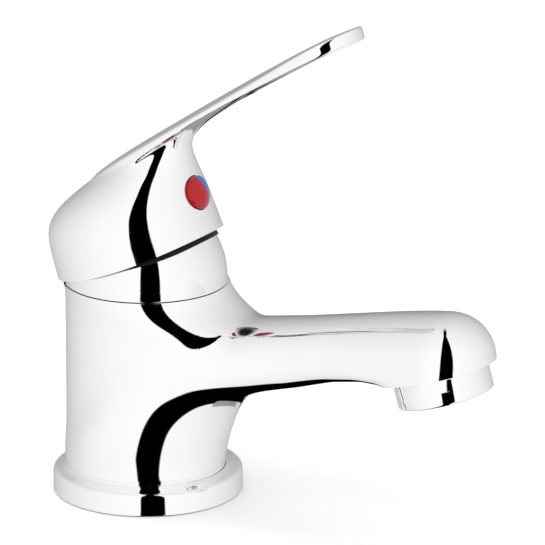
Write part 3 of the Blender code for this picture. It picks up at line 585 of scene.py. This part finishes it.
def body_field(x, f, z, sizes):
    """Column and spout run together. The fillet is tight over the spout, wide beside and
    under it."""
    tight, loose = 9 * MM, 40 * MM
    line = 0.17 * (f - 30 * MM)
    under = smooth_step((48 * MM + line - z) / (28 * MM))
    width = tight + (loose - tight) * under
    return soft_min(column_field(x, f, z, sizes), spout_field(x, f, z, sizes), width)


def sweep(pivot, levels, swing, upright):
    """Planes for the rings: level at each height, fanned round the pivot from backwards to
    upwards, then upright at each reach."""
    origins = np.concatenate((np.column_stack((np.full(len(levels), pivot[0]), levels)),
                              np.repeat([pivot], len(swing), 0),
                              np.column_stack((upright, np.full(len(upright), pivot[1])))))
    aims = np.concatenate((np.repeat([(-1.0, 0.0)], len(levels), 0),
                           np.column_stack((-np.cos(swing), np.sin(swing))),
                           np.repeat([(0.0, 1.0)], len(upright), 0)))
    return origins, aims


def nose_end(field, low, high, floor, ceiling):
    """The furthest reach at which an upright line still meets the solid."""
    heights = np.linspace(floor, ceiling, 500)
    for _ in range(40):
        middle = (low + high) / 2
        value = field(np.zeros(500), np.full(500, middle), heights)
        low, high = (middle, high) if value.min() < 0 else (low, middle)
    return low


def body_mesh(sizes):
    """Rings level up the column, fanned round a line under the spout, then upright along
    the spout to its nose."""
    def field(x, f, z):
        return body_field(x, f, z, sizes)

    around = 224
    pivot = (35 * MM, 16 * MM)
    foot = RING_LOW.z + RING_LEDGE
    levels = np.linspace(foot, pivot[1], 24)[:-1]
    end = nose_end(field, RIM_REACH, RIM_REACH + 40 * MM, 30 * MM, 80 * MM)
    straight = np.linspace(pivot[0], RIM_REACH + 2 * MM, 96)[1:]
    rest = end - straight[-1]
    tip = straight[-1] + rest * np.sin(np.linspace(0, pi / 2, 46)[1:]) * 0.9996
    upright = np.concatenate((straight, tip))
    swing = np.concatenate((np.linspace(0.0, 1.0, 70)[:-1], np.linspace(1.0, pi / 2, 130)))
    rings, centres = wrap(field, *sweep(pivot, levels, swing, upright), around, 110 * MM)

    spigot = np.empty((2, around, 3))
    turn = 2 * pi * (np.arange(around) + 0.5) / around
    spigot[..., 0] = SPIGOT_RADIUS * np.cos(turn)
    spigot[..., 1] = SPIGOT_RADIUS * np.sin(turn)
    spigot[0, :, 2], spigot[1, :, 2] = 0.0, foot
    rings = np.concatenate((spigot, rings))
    return ring_mesh("body_skin", rings, (0.0, 0.0, 0.0), centres[-1])


def body_cutters(sizes):
    """The seam's plane with the cartridge's bore, the outlet's bore, inlets and stud hole."""
    seat = BASE_LOW.z - 0.8 * MM
    shoulder = HOUSING_HIGH.z - 9.8 * MM
    bore = (BASE_HIGH.x - BASE_LOW.x) / 2 + GAP
    thread = (NUT_HIGH.x - NUT_LOW.x) / 2 + GAP
    seam = sizes.seam_height
    top = turned_mesh("top_cut", [(0.0, seat), (bore, seat), (bore, shoulder), (thread, shoulder),
                                  (thread, seam), (60 * MM, seam), (60 * MM, 120 * MM),
                                  (0.0, 120 * MM)], 160)
    depth, below, clear = 9.0 * MM, -30 * MM, 24 * MM
    outlet = turned_mesh("outlet_cut", [(0.0, depth), (OUTLET_BORE, depth), (OUTLET_BORE, 0.0),
                                        (clear, 0.0), (clear, below), (0.0, below)], 160)
    move_mesh(outlet, -RIM_TILT, RIM_CENTRE)
    cutters = [top, outlet]
    for x, y, radius, deep in ((-8.0, -4.5, 4.6, 15.0), (8.0, -4.5, 4.6, 15.0),
                               (0.0, 9.5, 3.4, 14.0)):
        hole = turned_mesh("hole_cut", [(0.0, deep * MM), (radius * MM, deep * MM),
                                        (radius * MM, -2 * MM), (0.0, -2 * MM)], 48)
        cutters.append(move_mesh(hole, 0.0, (x * MM, -y * MM, 0.0)))
    return cutters


class MIXER_OT_body(Operator):
    """Build the casting: column, spout and head in one skin, with its bores"""
    bl_idname = "mixer.body"
    bl_label = "Body"

    def execute(self, context):
        sizes = context.scene.mixer_casting
        mesh = carve(body_mesh(sizes), body_cutters(sizes))
        seam = sizes.seam_height
        # The bore above the cartridge's seat gets the near-black inner colour, which is painted shade inside the
        # casting as well as unplated metal.
        mark_unplated_shade(mesh, lambda x, f, z: (z > BASE_LOW.z - 2 * MM) & (z < seam - 0.1 * MM)
                 & (np.hypot(x, f) < 22 * MM))
        add_piece("mixer_body", mesh, "root", ["body"], finish("chrome"), 25.0)
        return {"FINISHED"}


# ------------------------------------------------------------------ ring, cover, collar

def ring_skin(sizes):
    """A profile carried round the axis. The inner edge of its top follows the column's
    outline, found along each direction by halving; the rest is round."""
    around = 256
    turn = 2 * pi * np.arange(around) / around
    ways = np.column_stack((np.sin(turn), np.cos(turn)))
    near, away = np.full(around, 15 * MM), np.full(around, 28 * MM)
    level = np.full(around, 7.5 * MM)
    for _ in range(40):
        middle = (near + away) / 2
        outside = column_field(ways[:, 0] * middle, ways[:, 1] * middle, level, sizes) > 0
        near, away = np.where(outside, near, middle), np.where(outside, middle, away)
    edge = near + 0.12 * MM
    radius, low, top = (RING_HIGH.x - RING_LOW.x) / 2, RING_LOW.z, 7.0 * MM
    bore, groove_in, groove_out, groove_top = 20.6 * MM, 21.7 * MM, 27.3 * MM, 2.3 * MM
    hole = np.full(around, bore)
    corners = [(bore, low), (groove_in, low), (groove_in, groove_top),
               (groove_out, groove_top), (groove_out, low), (radius, low), (radius, top),
               (radius - 3 * MM, top + 0.35 * MM)]
    profile = rounded(corners, [0, 0, 0, 0, 0, 0.35 * MM, 1.5 * MM, 0], 11)
    rows = [(np.full(around, a), b) for a, b in profile]
    outer = radius - 3 * MM
    rows += [(outer + (edge + 0.3 * MM - outer) * t, top + 0.35 * MM + 0.65 * MM * t)
             for t in np.linspace(0, 1, 6)[1:]]
    rows += [(edge + 0.08 * MM, top + 0.95 * MM), (edge, top + 0.75 * MM), (edge, RING_LEDGE),
             (hole, RING_LEDGE), (hole, low)]
    rings = np.empty((len(rows), around, 3))
    for ring, (across, height) in zip(rings, rows):
        ring[:, 0], ring[:, 1], ring[:, 2] = ways[:, 0] * across, -ways[:, 1] * across, height
    mesh = ring_mesh("ring", rings)
    weld(mesh)
    return face_out(mesh)


class MIXER_OT_base_ring(Operator):
    """Build the base ring: a profile with a rounded edge, and the gasket's groove below"""
    bl_idname = "mixer.base_ring"
    bl_label = "Base ring"

    def execute(self, context):
        mesh = ring_skin(context.scene.mixer_casting)
        add_piece("mixer_base_ring", mesh, "root", ["base_ring"], finish("chrome"))
        return {"FINISHED"}


class MIXER_OT_dome(Operator):
    """Build the ball-shaped cover: an arc about the pivot with a rolled lower edge"""
    bl_idname = "mixer.dome"
    bl_label = "Dome cover"

    def execute(self, context):
        sizes = context.scene.mixer_casting
        outer = sizes.column_radius
        inner = outer - 1.6 * MM
        low = DOME_LOW.z - 0.18 * MM
        start = low - PIVOT[2]
        last = np.arcsin((DOME_HIGH.z - PIVOT[2]) / outer)
        edge = 0.25 * MM
        first = np.arcsin((start + edge) / outer)
        outside = [(outer * cos(a), PIVOT[2] + outer * sin(a))
                   for a in np.linspace(last, first, 60)]
        roll = [(outer - edge * (1 - cos(a)), low + edge * (1 - sin(a)))
                for a in np.linspace(0.0, pi / 2, 9)[1:]]
        inside = [(inner * cos(a), PIVOT[2] + inner * sin(a))
                  for a in np.linspace(np.arcsin(start / inner), last, 40)]
        mesh = turned_mesh("dome", outside + roll + inside, 224)
        add_piece("mixer_dome_cover", mesh, "root", ["dome_cover"], finish("chrome"))
        return {"FINISHED"}


class MIXER_OT_collar(Operator):
    """Build the aerator's collar: a turned profile with two spanner flats"""
    bl_idname = "mixer.collar"
    bl_label = "Aerator collar"

    def execute(self, context):
        radius = (COLLAR_HIGH.x - COLLAR_LOW.x) / 2
        top, bottom = -0.25 * MM, -8.0 * MM
        corners = [(12.0 * MM, 7.0 * MM), (12.0 * MM, top), (radius, top), (radius, bottom),
                   (9.3 * MM, bottom), (9.3 * MM, bottom + 1.2 * MM),
                   (10.6 * MM, bottom + 1.2 * MM), (10.6 * MM, 7.0 * MM)]
        radii = [0.4 * MM, 0, 0.5 * MM, 0.7 * MM, 0.4 * MM, 0, 0, 0.2 * MM]
        mesh = turned_mesh("collar", rounded(corners, radii, 7), 224)
        flat = radius - 0.62 * MM
        jaws = []
        for turn in (0.0, pi):
            grid = np.array([[(x, y, z) for x, y in ((flat, -radius), (2 * radius, -radius),
                                                     (2 * radius, radius), (flat, radius))]
                             for z in (bottom + 4.0 * MM, 1.0 * MM)])
            angle = turn + radians(18.0)
            grid[..., 0], grid[..., 1] = (grid[..., 0] * cos(angle) - grid[..., 1] * sin(angle),
                                          grid[..., 0] * sin(angle) + grid[..., 1] * cos(angle))
            jaws.append(ring_mesh("jaw", grid, grid[0].mean(0), grid[1].mean(0)))
        mesh = carve(mesh, jaws)
        move_mesh(mesh, -RIM_TILT, RIM_CENTRE)
        add_piece("mixer_aerator_collar", mesh, "root", ["aerator_housing"],
                  finish("chrome"), 25.0)
        return {"FINISHED"}


# ------------------------------------------------------------------ lever

def crest(f):
    """Height of the lever's ridge along its reach."""
    return curve(f, [(-20 * MM, 25.4 * MM), (-7 * MM, 32.7 * MM), (2 * MM, 36.2 * MM),
                     (11 * MM, 39.0 * MM), (23 * MM, 42.3 * MM), (41 * MM, 47.2 * MM),
                     (54 * MM, 50.6 * MM), (70 * MM, 54.6 * MM), (81 * MM, 57.0 * MM),
                     (88 * MM, 58.0 * MM), (94 * MM, 58.3 * MM)], 12 * MM)


def hood_field(x, f, h, inset=0.0):
    """The hood: at each height a circle, whose back draws in and whose radius shrinks as
    the sloping top is reached. An inset moves it inwards for the cavity."""
    back = curve(h + inset, [(0.0, -25.4 * MM), (12 * MM, -25.4 * MM), (18 * MM, -25.3 * MM),
                             (22 * MM, -24.2 * MM), (25.5 * MM, -21.2 * MM),
                             (28.5 * MM, -16.0 * MM), (32 * MM, -7.6 * MM),
                             (35 * MM, 0.6 * MM), (38 * MM, 11.0 * MM),
                             (46 * MM, 42.0 * MM)], 7.0 * MM)
    front = curve(h, [(0.0, 26.6 * MM), (9 * MM, 26.0 * MM), (18 * MM, 25.3 * MM),
                      (27 * MM, 24.9 * MM), (32 * MM, 25.2 * MM), (35 * MM, 26.0 * MM),
                      (37 * MM, 27.4 * MM), (39 * MM, 30.2 * MM), (41 * MM, 34.5 * MM),
                      (43 * MM, 40.0 * MM)], 5 * MM)
    radius = (front - back) / 2
    centre = (front + back) / 2
    narrow = 1.0 - 0.12 * smooth_step((h - 12 * MM) / (28 * MM))
    across = np.hypot(x / narrow, f - centre)
    return (across - radius + inset) * 0.9


def blade_field(x, f, h, sizes):
    """The blade: a stadium in plan, an arched plate across, thickest at its tip. Its half
    width, ridge and thickness are read off curves along its reach."""
    wide = curve(f, [(-5 * MM, 9.0 * MM), (8 * MM, 11.8 * MM), (24 * MM, 13.4 * MM),
                     (45 * MM, 12.6 * MM), (75 * MM, 12.3 * MM), (95 * MM, 12.5 * MM)], 16 * MM)
    thick = curve(f, [(0.0, 3.2 * MM), (22 * MM, 2.2 * MM), (38 * MM, 1.5 * MM),
                      (50 * MM, 1.7 * MM), (62 * MM, 2.2 * MM), (78 * MM, 3.3 * MM),
                      (90 * MM, 4.0 * MM), (96 * MM, 4.1 * MM)], 12 * MM)
    wide = wide * sizes.blade_half_width / BLADE_HALF_WIDTH
    straight = sizes.blade_reach - sizes.blade_half_width
    plan = np.hypot(x, np.maximum(f - straight, 0.0)) - wide
    plan = soft_max(plan, -4 * MM - f, 6 * MM)
    arch = sizes.blade_crown * curve(f, [(0.0, 1.0), (40 * MM, 1.0), (55 * MM, 0.9),
                                         (66 * MM, 0.75), (80 * MM, 0.4), (96 * MM, 0.15)],
                                     12 * MM)
    middle = np.clip(1 - (x / wide) ** 2, 0.0, 1.0)
    thick = thick * (1 + 0.5 * middle * (1 - smooth_step((f - 55 * MM) / (30 * MM))))
    top = crest(f) - arch * (x / wide) ** 2
    plate = np.abs(h - (top - thick / 2)) - thick / 2
    return soft_max(plate, plan, 1.3 * MM)


def lever_field(x, f, h, sizes):
    """Hood and blade, run together with a wide fillet under the blade and a narrow one on
    top."""
    tight, loose = 4 * MM, 8 * MM
    under = smooth_step((crest(f) - h) / (14 * MM))
    width = tight + (loose - tight) * under
    return soft_min(hood_field(x, f, h), blade_field(x, f, h, sizes), width)


def rim_shift(points, sizes):
    """The hood's rim isn't level: it is highest in front and lowest at the sides. Points
    near it are moved up or down by a share that fades out above it."""
    share = -points[..., 1] / (26 * MM)
    wanted = -0.9 * MM + 1.9 * MM * share ** 2 + 1.0 * MM * share
    fade = 1 - smooth_step((points[..., 2] - sizes.rim_height) / (9 * MM))
    points[..., 2] += wanted * fade
    return points


def lip_rings(edge):
    """The lip inside the rim follows the cover's ball at a small clearance, and hangs lowest
    in front. Its four rings are the inner top and bottom and the outer bottom and top."""
    ball = (DOME_HIGH.x - DOME_LOW.x) / 2 + GAP
    around = np.arctan2(edge[:, 0], edge[:, 1])
    drop = 0.2 * MM + 1.9 * MM * smooth_step((-edge[:, 1] - 3 * MM) / (22 * MM))
    rings = []
    wall = 0.4 * MM
    for above, out in ((1.0 * MM, 0.0), (-drop, 0.0), (0.1 * MM - drop, wall), (0.0, wall)):
        height = edge[:, 2] + above
        across = np.sqrt(ball ** 2 - height ** 2) + out
        rings.append(np.column_stack((across * np.sin(around), across * np.cos(around), height)))
    return np.stack(rings)


def lever_mesh(sizes):
    """Rings from the cavity's roof down to an inner lip, which hangs lowest in front, up the
    hood, fanned round a line in front of it, then upright along the blade to its tip."""
    def field(x, f, h):
        return lever_field(x, f, h, sizes)

    def cavity(x, f, h):
        thin = 0.4 + 0.6 * smooth_step((h - rim) / (9 * MM))
        return hood_field(x, f, h, sizes.wall * thin)

    around = 240
    pivot = (42 * MM, 27 * MM)
    rim = sizes.rim_height
    levels = np.linspace(rim, pivot[1], 60)[:-1]
    end = nose_end(field, 70 * MM, 110 * MM, 45 * MM, 65 * MM)
    straight = np.linspace(pivot[0], sizes.blade_reach - sizes.blade_half_width, 70)[1:]
    rest = end - straight[-1]
    tip = straight[-1] + rest * np.sin(np.linspace(0, pi / 2, 60)[1:]) * 0.998
    upright = np.concatenate((straight, tip))
    planes = sweep(pivot, levels, np.linspace(0.0, pi / 2, 170), upright)
    outer, centres = wrap(field, *planes, around, 80 * MM)

    roof = np.linspace(29 * MM, rim + 1.8 * MM, 40)
    under = np.column_stack((np.full(len(roof), pivot[0]), roof))
    inner, inner_centres = wrap(cavity, under, np.repeat([(-1.0, 0.0)], len(roof), 0), around,
                                80 * MM)
    outer[0, :, 2] = rim
    outer, inner = rim_shift(outer, sizes), rim_shift(inner, sizes)
    rings = np.concatenate((inner, lip_rings(outer[0]), outer))
    return ring_mesh("lever_skin", rings, inner_centres[0], centres[-1])


class MIXER_OT_lever(Operator):
    """Build the lever: hood and blade in one skin, hollow below, with the plug's seat"""
    bl_idname = "mixer.lever"
    bl_label = "Lever"

    def execute(self, context):
        sizes = context.scene.mixer_lever
        mesh = lever_mesh(sizes)
        seat = turned_mesh("seat", [(0.0, 24.0 * MM), (5.3 * MM, 24.0 * MM),
                                    (5.3 * MM, 40 * MM), (0.0, 40 * MM)], 96)
        move_mesh(seat, pi / 2, (0.0, 0.0, sizes.plug_height))
        mesh = carve(mesh, [seat])
        # The hood's hollow gets the near-black inner colour, which is painted shade under the lever as well as
        # unplated metal.
        mark_unplated_shade(mesh, lambda x, f, h: (h < 31 * MM) & (hood_field(x, f, h) < -0.5 * MM))
        move_mesh(mesh, -TILT, PIVOT)
        add_piece("mixer_lever", mesh, "lever", ["lever_handle"], finish("chrome"), 25.0)
        return {"FINISHED"}


class MIXER_OT_index_plug(Operator):
    """Build the index plug: a low side wall and a domed face"""
    bl_idname = "mixer.index_plug"
    bl_label = "Index plug"

    def execute(self, context):
        sizes = context.scene.mixer_lever
        radius = sizes.plug_radius
        wall, dome = NOSE_REACH - 0.2 * MM, 1.5 * MM
        low = 24.3 * MM
        corners = [(radius - 0.3 * MM, low), (radius, low + 0.3 * MM), (radius, wall - 0.35 * MM)]
        turn = np.linspace(0, pi / 2, 8)[1:]
        corners += [(radius - 0.4 * MM * (1 - cos(a)), wall - 0.35 * MM + 0.4 * MM * sin(a))
                    for a in turn]
        inner = radius - 0.4 * MM
        across = np.linspace(1.0, 0.0, 24)[1:]
        corners += [(inner * s, wall + 0.05 * MM + dome * (1 - s ** 2.2)) for s in across]
        mesh = turned_mesh("plug", [(0.0, low)] + corners, 128)
        move_mesh(mesh, pi / 2, (0.0, 0.0, sizes.plug_height))
        move_mesh(mesh, -TILT, PIVOT)
        add_piece("mixer_index_plug", mesh, "lever", ["index_plug"],
                  finish("index"), 40.0)
        return {"FINISHED"}


# ------------------------------------------------------------------ inner pieces and stage

FINISHES = {}
# name, metallic, roughness, grain per metre, depth of the grain, share of darkening, coat
GRAINED = {
    "brass": ("turned_brass", 1.0, 0.3, 900.0, 0.02 * MM),
    "steel": ("stainless_steel", 1.0, 0.24, 1500.0, 0.01 * MM),
    "rubber": ("moulded_rubber", 0.0, 0.6, 1300.0, 0.05 * MM, 0.3),
    "white_plastic": ("white_acetal", 0.0, 0.38, 1100.0, 0.02 * MM, 0.04),
    "grey_plastic": ("glass_filled_nylon", 0.0, 0.5, 1600.0, 0.03 * MM, 0.2),
    "ceramic": ("lapped_ceramic", 0.0, 0.16, 2200.0, 0.004 * MM, 0.03, 0.3),
}


def finish(name):
    """Each finish is made once and shared."""
    finishes = bpy.context.scene.mixer_finishes
    if name in FINISHES:
        return FINISHES[name]
    if name in GRAINED:
        title, *values = GRAINED[name]
        FINISHES[name] = mottled_finish(title, getattr(finishes, name), *values)
    else:
        FINISHES[name] = {"chrome": chrome_finish, "index": index_finish}[name](finishes)
    return FINISHES[name]


class MIXER_OT_inner_finishes(Operator):
    """Give each carried-over piece of the frame its own procedural finish"""
    bl_idname = "mixer.inner_finishes"
    bl_label = "Inner finishes"

    def execute(self, context):
        slots = {row["node"]: row["material_slot"] for row in FRAME["record"]["subparts"]}
        for node, piece in FRAME["nodes"].items():
            if piece.hide_render:
                continue
            piece.data.materials.clear()
            piece.data.materials.append(finish(slots[node]))
        return {"FINISHED"}


VIEW_TURN = radians(-60.0)
VIEW_RISE = radians(19.3)
VIEW_DISTANCE = 1.3
LENS = 284.2
CAMERA_YAW = radians(-61.75)
CAMERA_PITCH = radians(16.47)


def tent_world():
    """A white tent, bright in front and greyer at the back. It has one upright dark gap in
    front, which runs on underneath, and a grey patch low down at the back."""
    world = bpy.data.worlds.new("tent")
    bpy.context.scene.world = world
    world.use_nodes = True
    nodes, links = world.node_tree.nodes, world.node_tree.links
    nodes.clear()
    place = nodes.new("ShaderNodeTexCoord")
    ahead = (sin(VIEW_TURN), -cos(VIEW_TURN), 0.0)
    beside = (cos(VIEW_TURN), sin(VIEW_TURN), 0.0)

    def dot(axis):
        node = nodes.new("ShaderNodeVectorMath")
        node.operation = "DOT_PRODUCT"
        node.inputs[1].default_value = axis
        links.new(place.outputs["Generated"], node.inputs[0])
        return node.outputs["Value"]

    def maths(operation, a, b=None):
        node = nodes.new("ShaderNodeMath")
        node.operation = operation
        for socket, value in zip(node.inputs, (a, b)):
            if isinstance(value, float):
                socket.default_value = value
            elif value is not None:
                links.new(value, socket)
        return node.outputs[0]

    def ramp(source, start, end, low, high):
        node = nodes.new("ShaderNodeMapRange")
        node.interpolation_type = "SMOOTHSTEP"
        for name, value in (("From Min", start), ("From Max", end), ("To Min", low),
                            ("To Max", high)):
            node.inputs[name].default_value = value
        links.new(source, node.inputs["Value"])
        return node.outputs["Result"]

    side, near, rise = dot(beside), dot(ahead), dot((0.0, 0.0, 1.0))
    level = maths("SQRT", maths("SUBTRACT", 1.0, maths("MULTIPLY", rise, rise)))
    shrink = maths("MAXIMUM", maths("MAXIMUM", level, ramp(rise, -0.2, 0.0, 1.0, 0.0)), 0.2)
    side = maths("DIVIDE", side, shrink)
    limit = maths("MINIMUM", ramp(rise, -0.55, -0.40, 0.26, 0.325),
                  ramp(near, -0.25, -0.05, 0.215, 0.325))
    spare = maths("SUBTRACT", side, limit)
    gap = maths("MULTIPLY", ramp(side, -0.165, -0.145, 0.0, 1.0),
                ramp(spare, -0.01, 0.01, 1.0, 0.0))
    gap = maths("MULTIPLY", gap, maths("MAXIMUM", ramp(near, -0.35, -0.05, 0.0, 1.0),
                                       ramp(rise, -0.46, -0.36, 1.0, 0.0)))
    half = maths("ADD", maths("MULTIPLY", near, 0.5), 0.5)
    fall = maths("POWER", half, 0.30)
    tent = maths("MULTIPLY", maths("ADD", maths("MULTIPLY", fall, 0.78), 0.20), 1.36)
    patch = ramp(rise, -0.65, -0.55, 0.42, 1.0)
    for edge in (ramp(near, -0.25, -0.05, 0.0, 1.0), ramp(side, 0.20, 0.23, 1.0, 0.0),
                 ramp(side, 0.31, 0.36, 0.0, 1.0)):
        patch = maths("MAXIMUM", patch, edge)
    tent = maths("MULTIPLY", tent, patch)
    light = maths("MULTIPLY", tent, maths("SUBTRACT", 1.0, gap))
    path = nodes.new("ShaderNodeLightPath")
    shown = nodes.new("ShaderNodeMix")
    links.new(path.outputs["Is Camera Ray"], shown.inputs["Factor"])
    links.new(light, shown.inputs["A"])
    shown.inputs["B"].default_value = 1.0
    glow = nodes.new("ShaderNodeBackground")
    links.new(shown.outputs["Result"], glow.inputs["Strength"])
    out = nodes.new("ShaderNodeOutputWorld")
    links.new(glow.outputs["Background"], out.inputs["Surface"])


def soft_box(name, place, aim, size, power):
    """A square light, kept out of the chrome's reflections, which show the tent alone."""
    data = bpy.data.lights.new(name, "AREA")
    data.size = size
    data.energy = power
    lamp = bpy.data.objects.new(name, data)
    lamp.location = place
    way = np.array(aim) - np.array(place)
    flat = np.hypot(way[0], way[1])
    lamp.rotation_euler = (atan2(flat, -way[2]), 0.0, atan2(way[1], way[0]) - pi / 2)
    lamp.visible_glossy = False
    bpy.context.scene.collection.objects.link(lamp)


class MIXER_OT_stage(Operator):
    """Set the floor, the tent, the lights and the camera"""
    bl_idname = "mixer.stage"
    bl_label = "Stage"

    def execute(self, context):
        scene = context.scene
        half = 6.0
        corners = [(-half, -half, 0.0), (half, -half, 0.0), (half, half, 0.0), (-half, half, 0.0)]
        mesh = bpy.data.meshes.new("floor")
        mesh.from_pydata(corners, [], [(0, 1, 2, 3)])
        mesh.materials.append(mottled_finish("pale_floor", scene.mixer_finishes.floor, 0.0, 0.8,
                                             20.0, 0.01 * MM, 0.01))
        floor = bpy.data.objects.new("floor", mesh)
        floor.visible_glossy = False
        scene.collection.objects.link(floor)
        tent_world()
        soft_box("key_light", (-1.2, -1.0, 1.6), (0.0, -0.04, 0.06), 1.6, 26.0)
        soft_box("top_light", (0.4, 0.6, 1.8), (0.0, -0.04, 0.06), 1.6, 14.0)

        data = bpy.data.cameras.new("camera")
        data.lens = LENS
        data.clip_end = 50.0
        camera = bpy.data.objects.new("camera", data)
        level = VIEW_DISTANCE * cos(VIEW_RISE)
        camera.location = (level * sin(VIEW_TURN), -level * cos(VIEW_TURN),
                           VIEW_DISTANCE * sin(VIEW_RISE))
        camera.rotation_euler = (pi / 2 - CAMERA_PITCH, 0.0, CAMERA_YAW)
        scene.collection.objects.link(camera)
        scene.camera = camera
        scene.view_settings.view_transform = "Standard"
        return {"FINISHED"}


class MIXER_PT_panel(Panel):
    """Lists the pieces of the mixer"""
    bl_label = "Basin mixer"
    bl_idname = "MIXER_PT_panel"
    bl_space_type = "VIEW_3D"
    bl_region_type = "UI"
    bl_category = PANEL_TAB

    def draw(self, context):
        for operator in OPERATORS:
            self.layout.operator(operator.bl_idname)


OPERATORS = (MIXER_OT_stage, MIXER_OT_body, MIXER_OT_base_ring, MIXER_OT_dome, MIXER_OT_collar,
             MIXER_OT_lever, MIXER_OT_index_plug, MIXER_OT_inner_finishes)
CLASSES = (MixerCastingSizes, MixerLeverSizes, MixerFinishes) + OPERATORS + (MIXER_PT_panel,)


def register():
    for item in CLASSES:
        bpy.utils.register_class(item)
    bpy.types.Scene.mixer_casting = PointerProperty(type=MixerCastingSizes)
    bpy.types.Scene.mixer_lever = PointerProperty(type=MixerLeverSizes)
    bpy.types.Scene.mixer_finishes = PointerProperty(type=MixerFinishes)


def unregister():
    del bpy.types.Scene.mixer_finishes
    del bpy.types.Scene.mixer_lever
    del bpy.types.Scene.mixer_casting
    for item in reversed(CLASSES):
        bpy.utils.unregister_class(item)


def main():
    register()
    bpy.ops.mixer.stage()
    bpy.ops.mixer.body()
    bpy.ops.mixer.base_ring()
    bpy.ops.mixer.dome()
    bpy.ops.mixer.collar()
    bpy.ops.mixer.lever()
    bpy.ops.mixer.index_plug()
    bpy.ops.mixer.inner_finishes()


if __name__ == "__main__":
    main()
